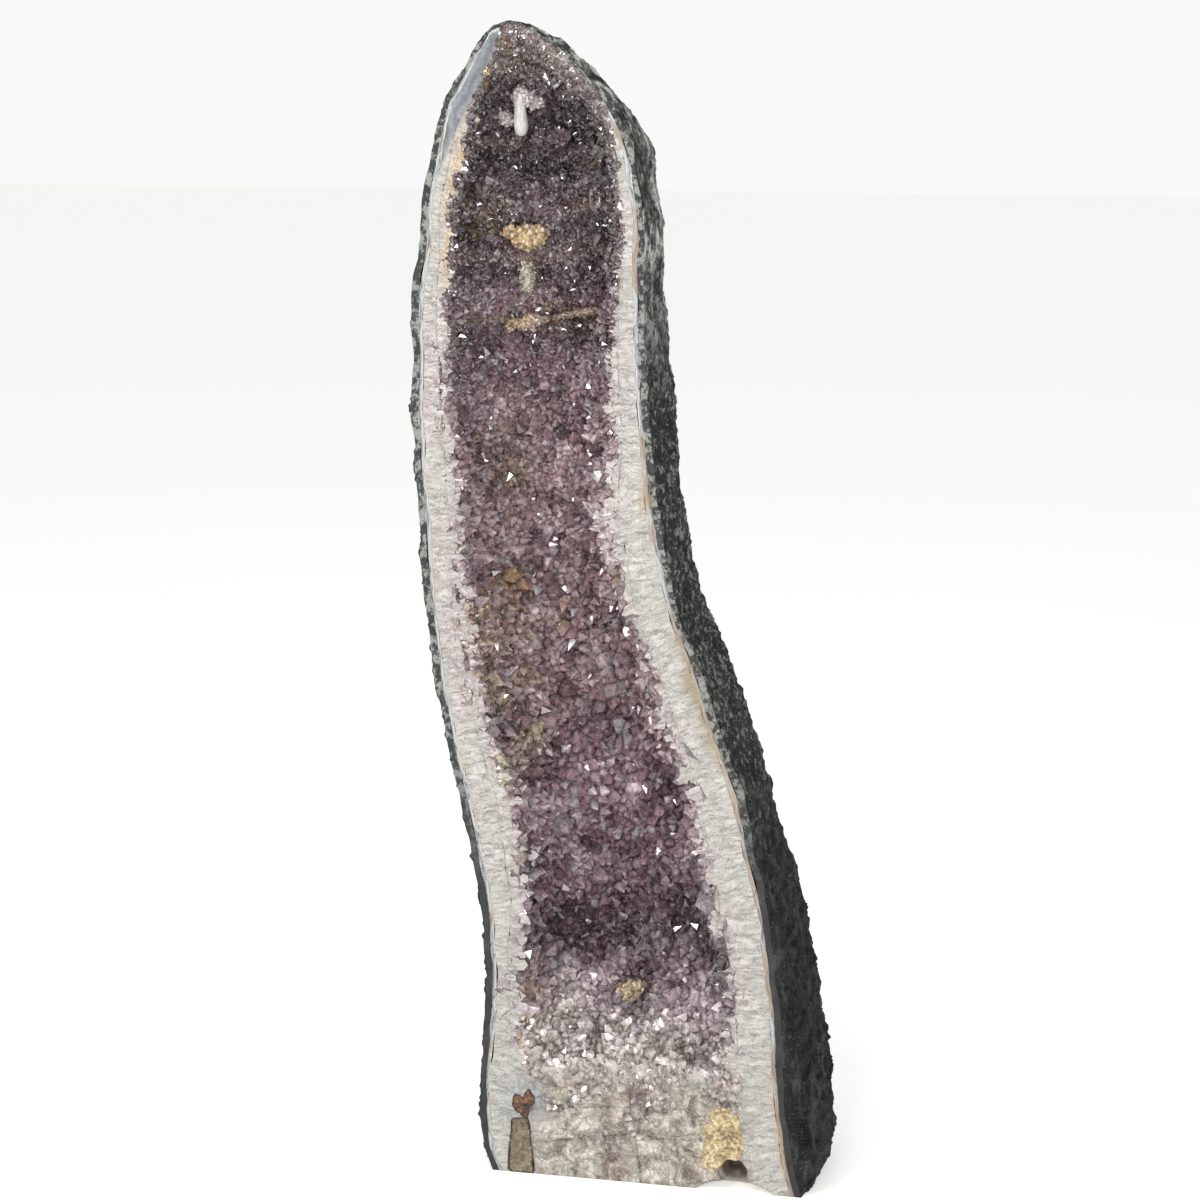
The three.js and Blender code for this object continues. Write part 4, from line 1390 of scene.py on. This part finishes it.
tones = {
    "base_patch": [(0.38, 88, 70, 48), (0.45, 134, 116, 84), (0.52, 168, 150, 110), (0.6, 204, 190, 154)],
    "plug_filling": [(0.35, 70, 58, 44), (0.5, 106, 94, 74), (0.65, 138, 128, 106)],
    "rusty_nodules": [(0.4, 34, 24, 18), (0.48, 78, 50, 30), (0.56, 112, 76, 46), (0.64, 150, 122, 84)],
    "grey_bead": [(0.35, 80, 78, 76), (0.5, 118, 116, 114), (0.65, 156, 154, 150)],
}
bits = [  # node, piece, slot, roughness, dark outline, how far it stands out, ragged outline, size
    ("base_calcite", "base_patch", "cream_calcite", 0.4, 0.0, 0.00008, 0.0024, (1, 1, 1.02)),
    ("brown_plug", "plug_filling", "brown_filling", 0.7, 1.0, 0.00008, 0.0008, (0.88, 1, 1)),
    ("rust_nodules", "rusty_nodules", "rust", 0.6, 1.0, 0.0001, 0.0009, (1.1, 1, 1.7)),
    ("pocket_bead", "grey_bead", "chalcedony", 0.3, 0.0, 0, 0, (1, 1, 1)),
]
for node, name, slotName, roughness, dark, proud, ragged, grown in bits:
    piece = plainBit(node, name, proud, ragged, np.array(grown))
    cover(piece, *[fillingFinish(name, tones[name], roughness, dark)] * 4)
    settle(piece, slotName, node)
print(len(bits), "fillings in the foot")

# Floor, light and camera.
studio = {
    "aim": (-0.0143, 0.632), "azimuth": 12.0, "elevation": 12.0, "distance": 2.6, "lens": 76.8,
    "floorGlow": 0.36,
    "air": (0.22, 0.75), "airFrom": -0.3, "airTo": 0.9,  # brighter overhead than at the sides
    "backdrop": 0.95,
}
lamps = {  # name: place, width and height, watts
    "main_light": ((-1.4, -2.5, 2.7), (1.0, 1.0), 44),
    "side_light": ((2.2, -1.9, 1.3), (0.9, 1.3), 14),
}
sparkles = [
    (-0.9, -3.0, 1.6), (0.7, -2.6, 2.6), (-2.0, -1.6, 1.2), (1.6, -2.6, 0.9), (-0.2, -2.3, 3.0),
    (-0.4, -3.1, 0.9), (-1.6, -2.4, 0.6), (1.3, -2.2, 1.9), (0.1, -3.0, 1.5)]

bpy.ops.mesh.primitive_plane_add(size=40, location=(0, 0, -0.0005))
floor = bpy.context.object
floor.name = "studio_floor"
paper = Recipe("studio_paper")
glow = {"Emission_Color": (1, 1, 1, 1), "Emission_Strength": studio["floorGlow"]}
cover(floor, paper.finish(paint(240, 239, 237), 0.9, **glow))

around = math.radians(studio["azimuth"])
above = math.radians(studio["elevation"])
back = Vector((math.sin(around) * math.cos(above), -math.cos(around) * math.cos(above), math.sin(above)))
aim = Vector((studio["aim"][0], sawY, studio["aim"][1]))
bpy.ops.object.camera_add(location=aim + back * studio["distance"])
camera = bpy.context.object
camera.rotation_euler = (-back).to_track_quat("-Z", "Y").to_euler()
camera.data.lens = studio["lens"]
camera.data.sensor_width = 36
bpy.context.scene.camera = camera


def softbox(name, place, size, power):
    bpy.ops.object.light_add(type="AREA", location=place)
    lamp = bpy.context.object
    lamp.name = name
    lamp.data.shape = "RECTANGLE"
    lamp.data.size, lamp.data.size_y = size
    lamp.data.energy = power
    lamp.rotation_euler = (aim - Vector(place)).to_track_quat("-Z", "Y").to_euler()


for name, settings in lamps.items():
    softbox(name, *settings)
for number, place in enumerate(sparkles):
    softbox("sparkle_%d" % number, place, (0.26, 0.26), 6)

world = bpy.data.worlds.new("studio_air")
bpy.context.scene.world = world
world.use_nodes = True
air = world.node_tree
background = air.nodes["Background"]
background.inputs["Color"].default_value = (1, 1, 1, 1)
seen = air.nodes.new("ShaderNodeLightPath")
compass = air.nodes.new("ShaderNodeTexCoord")
split = air.nodes.new("ShaderNodeSeparateXYZ")
rise = air.nodes.new("ShaderNodeMapRange")
strength = air.nodes.new("ShaderNodeMapRange")
rise.inputs["From Min"].default_value = studio["airFrom"]
rise.inputs["From Max"].default_value = studio["airTo"]
rise.inputs["To Min"].default_value, rise.inputs["To Max"].default_value = studio["air"]
strength.inputs["To Max"].default_value = studio["backdrop"]
air.links.new(compass.outputs["Generated"], split.inputs[0])
air.links.new(split.outputs["Z"], rise.inputs["Value"])
air.links.new(seen.outputs["Is Camera Ray"], strength.inputs["Value"])
air.links.new(rise.outputs[0], strength.inputs["To Min"])
air.links.new(strength.outputs[0], background.inputs["Strength"])
bpy.context.scene.view_settings.view_transform = "Standard"
print("studio lit")
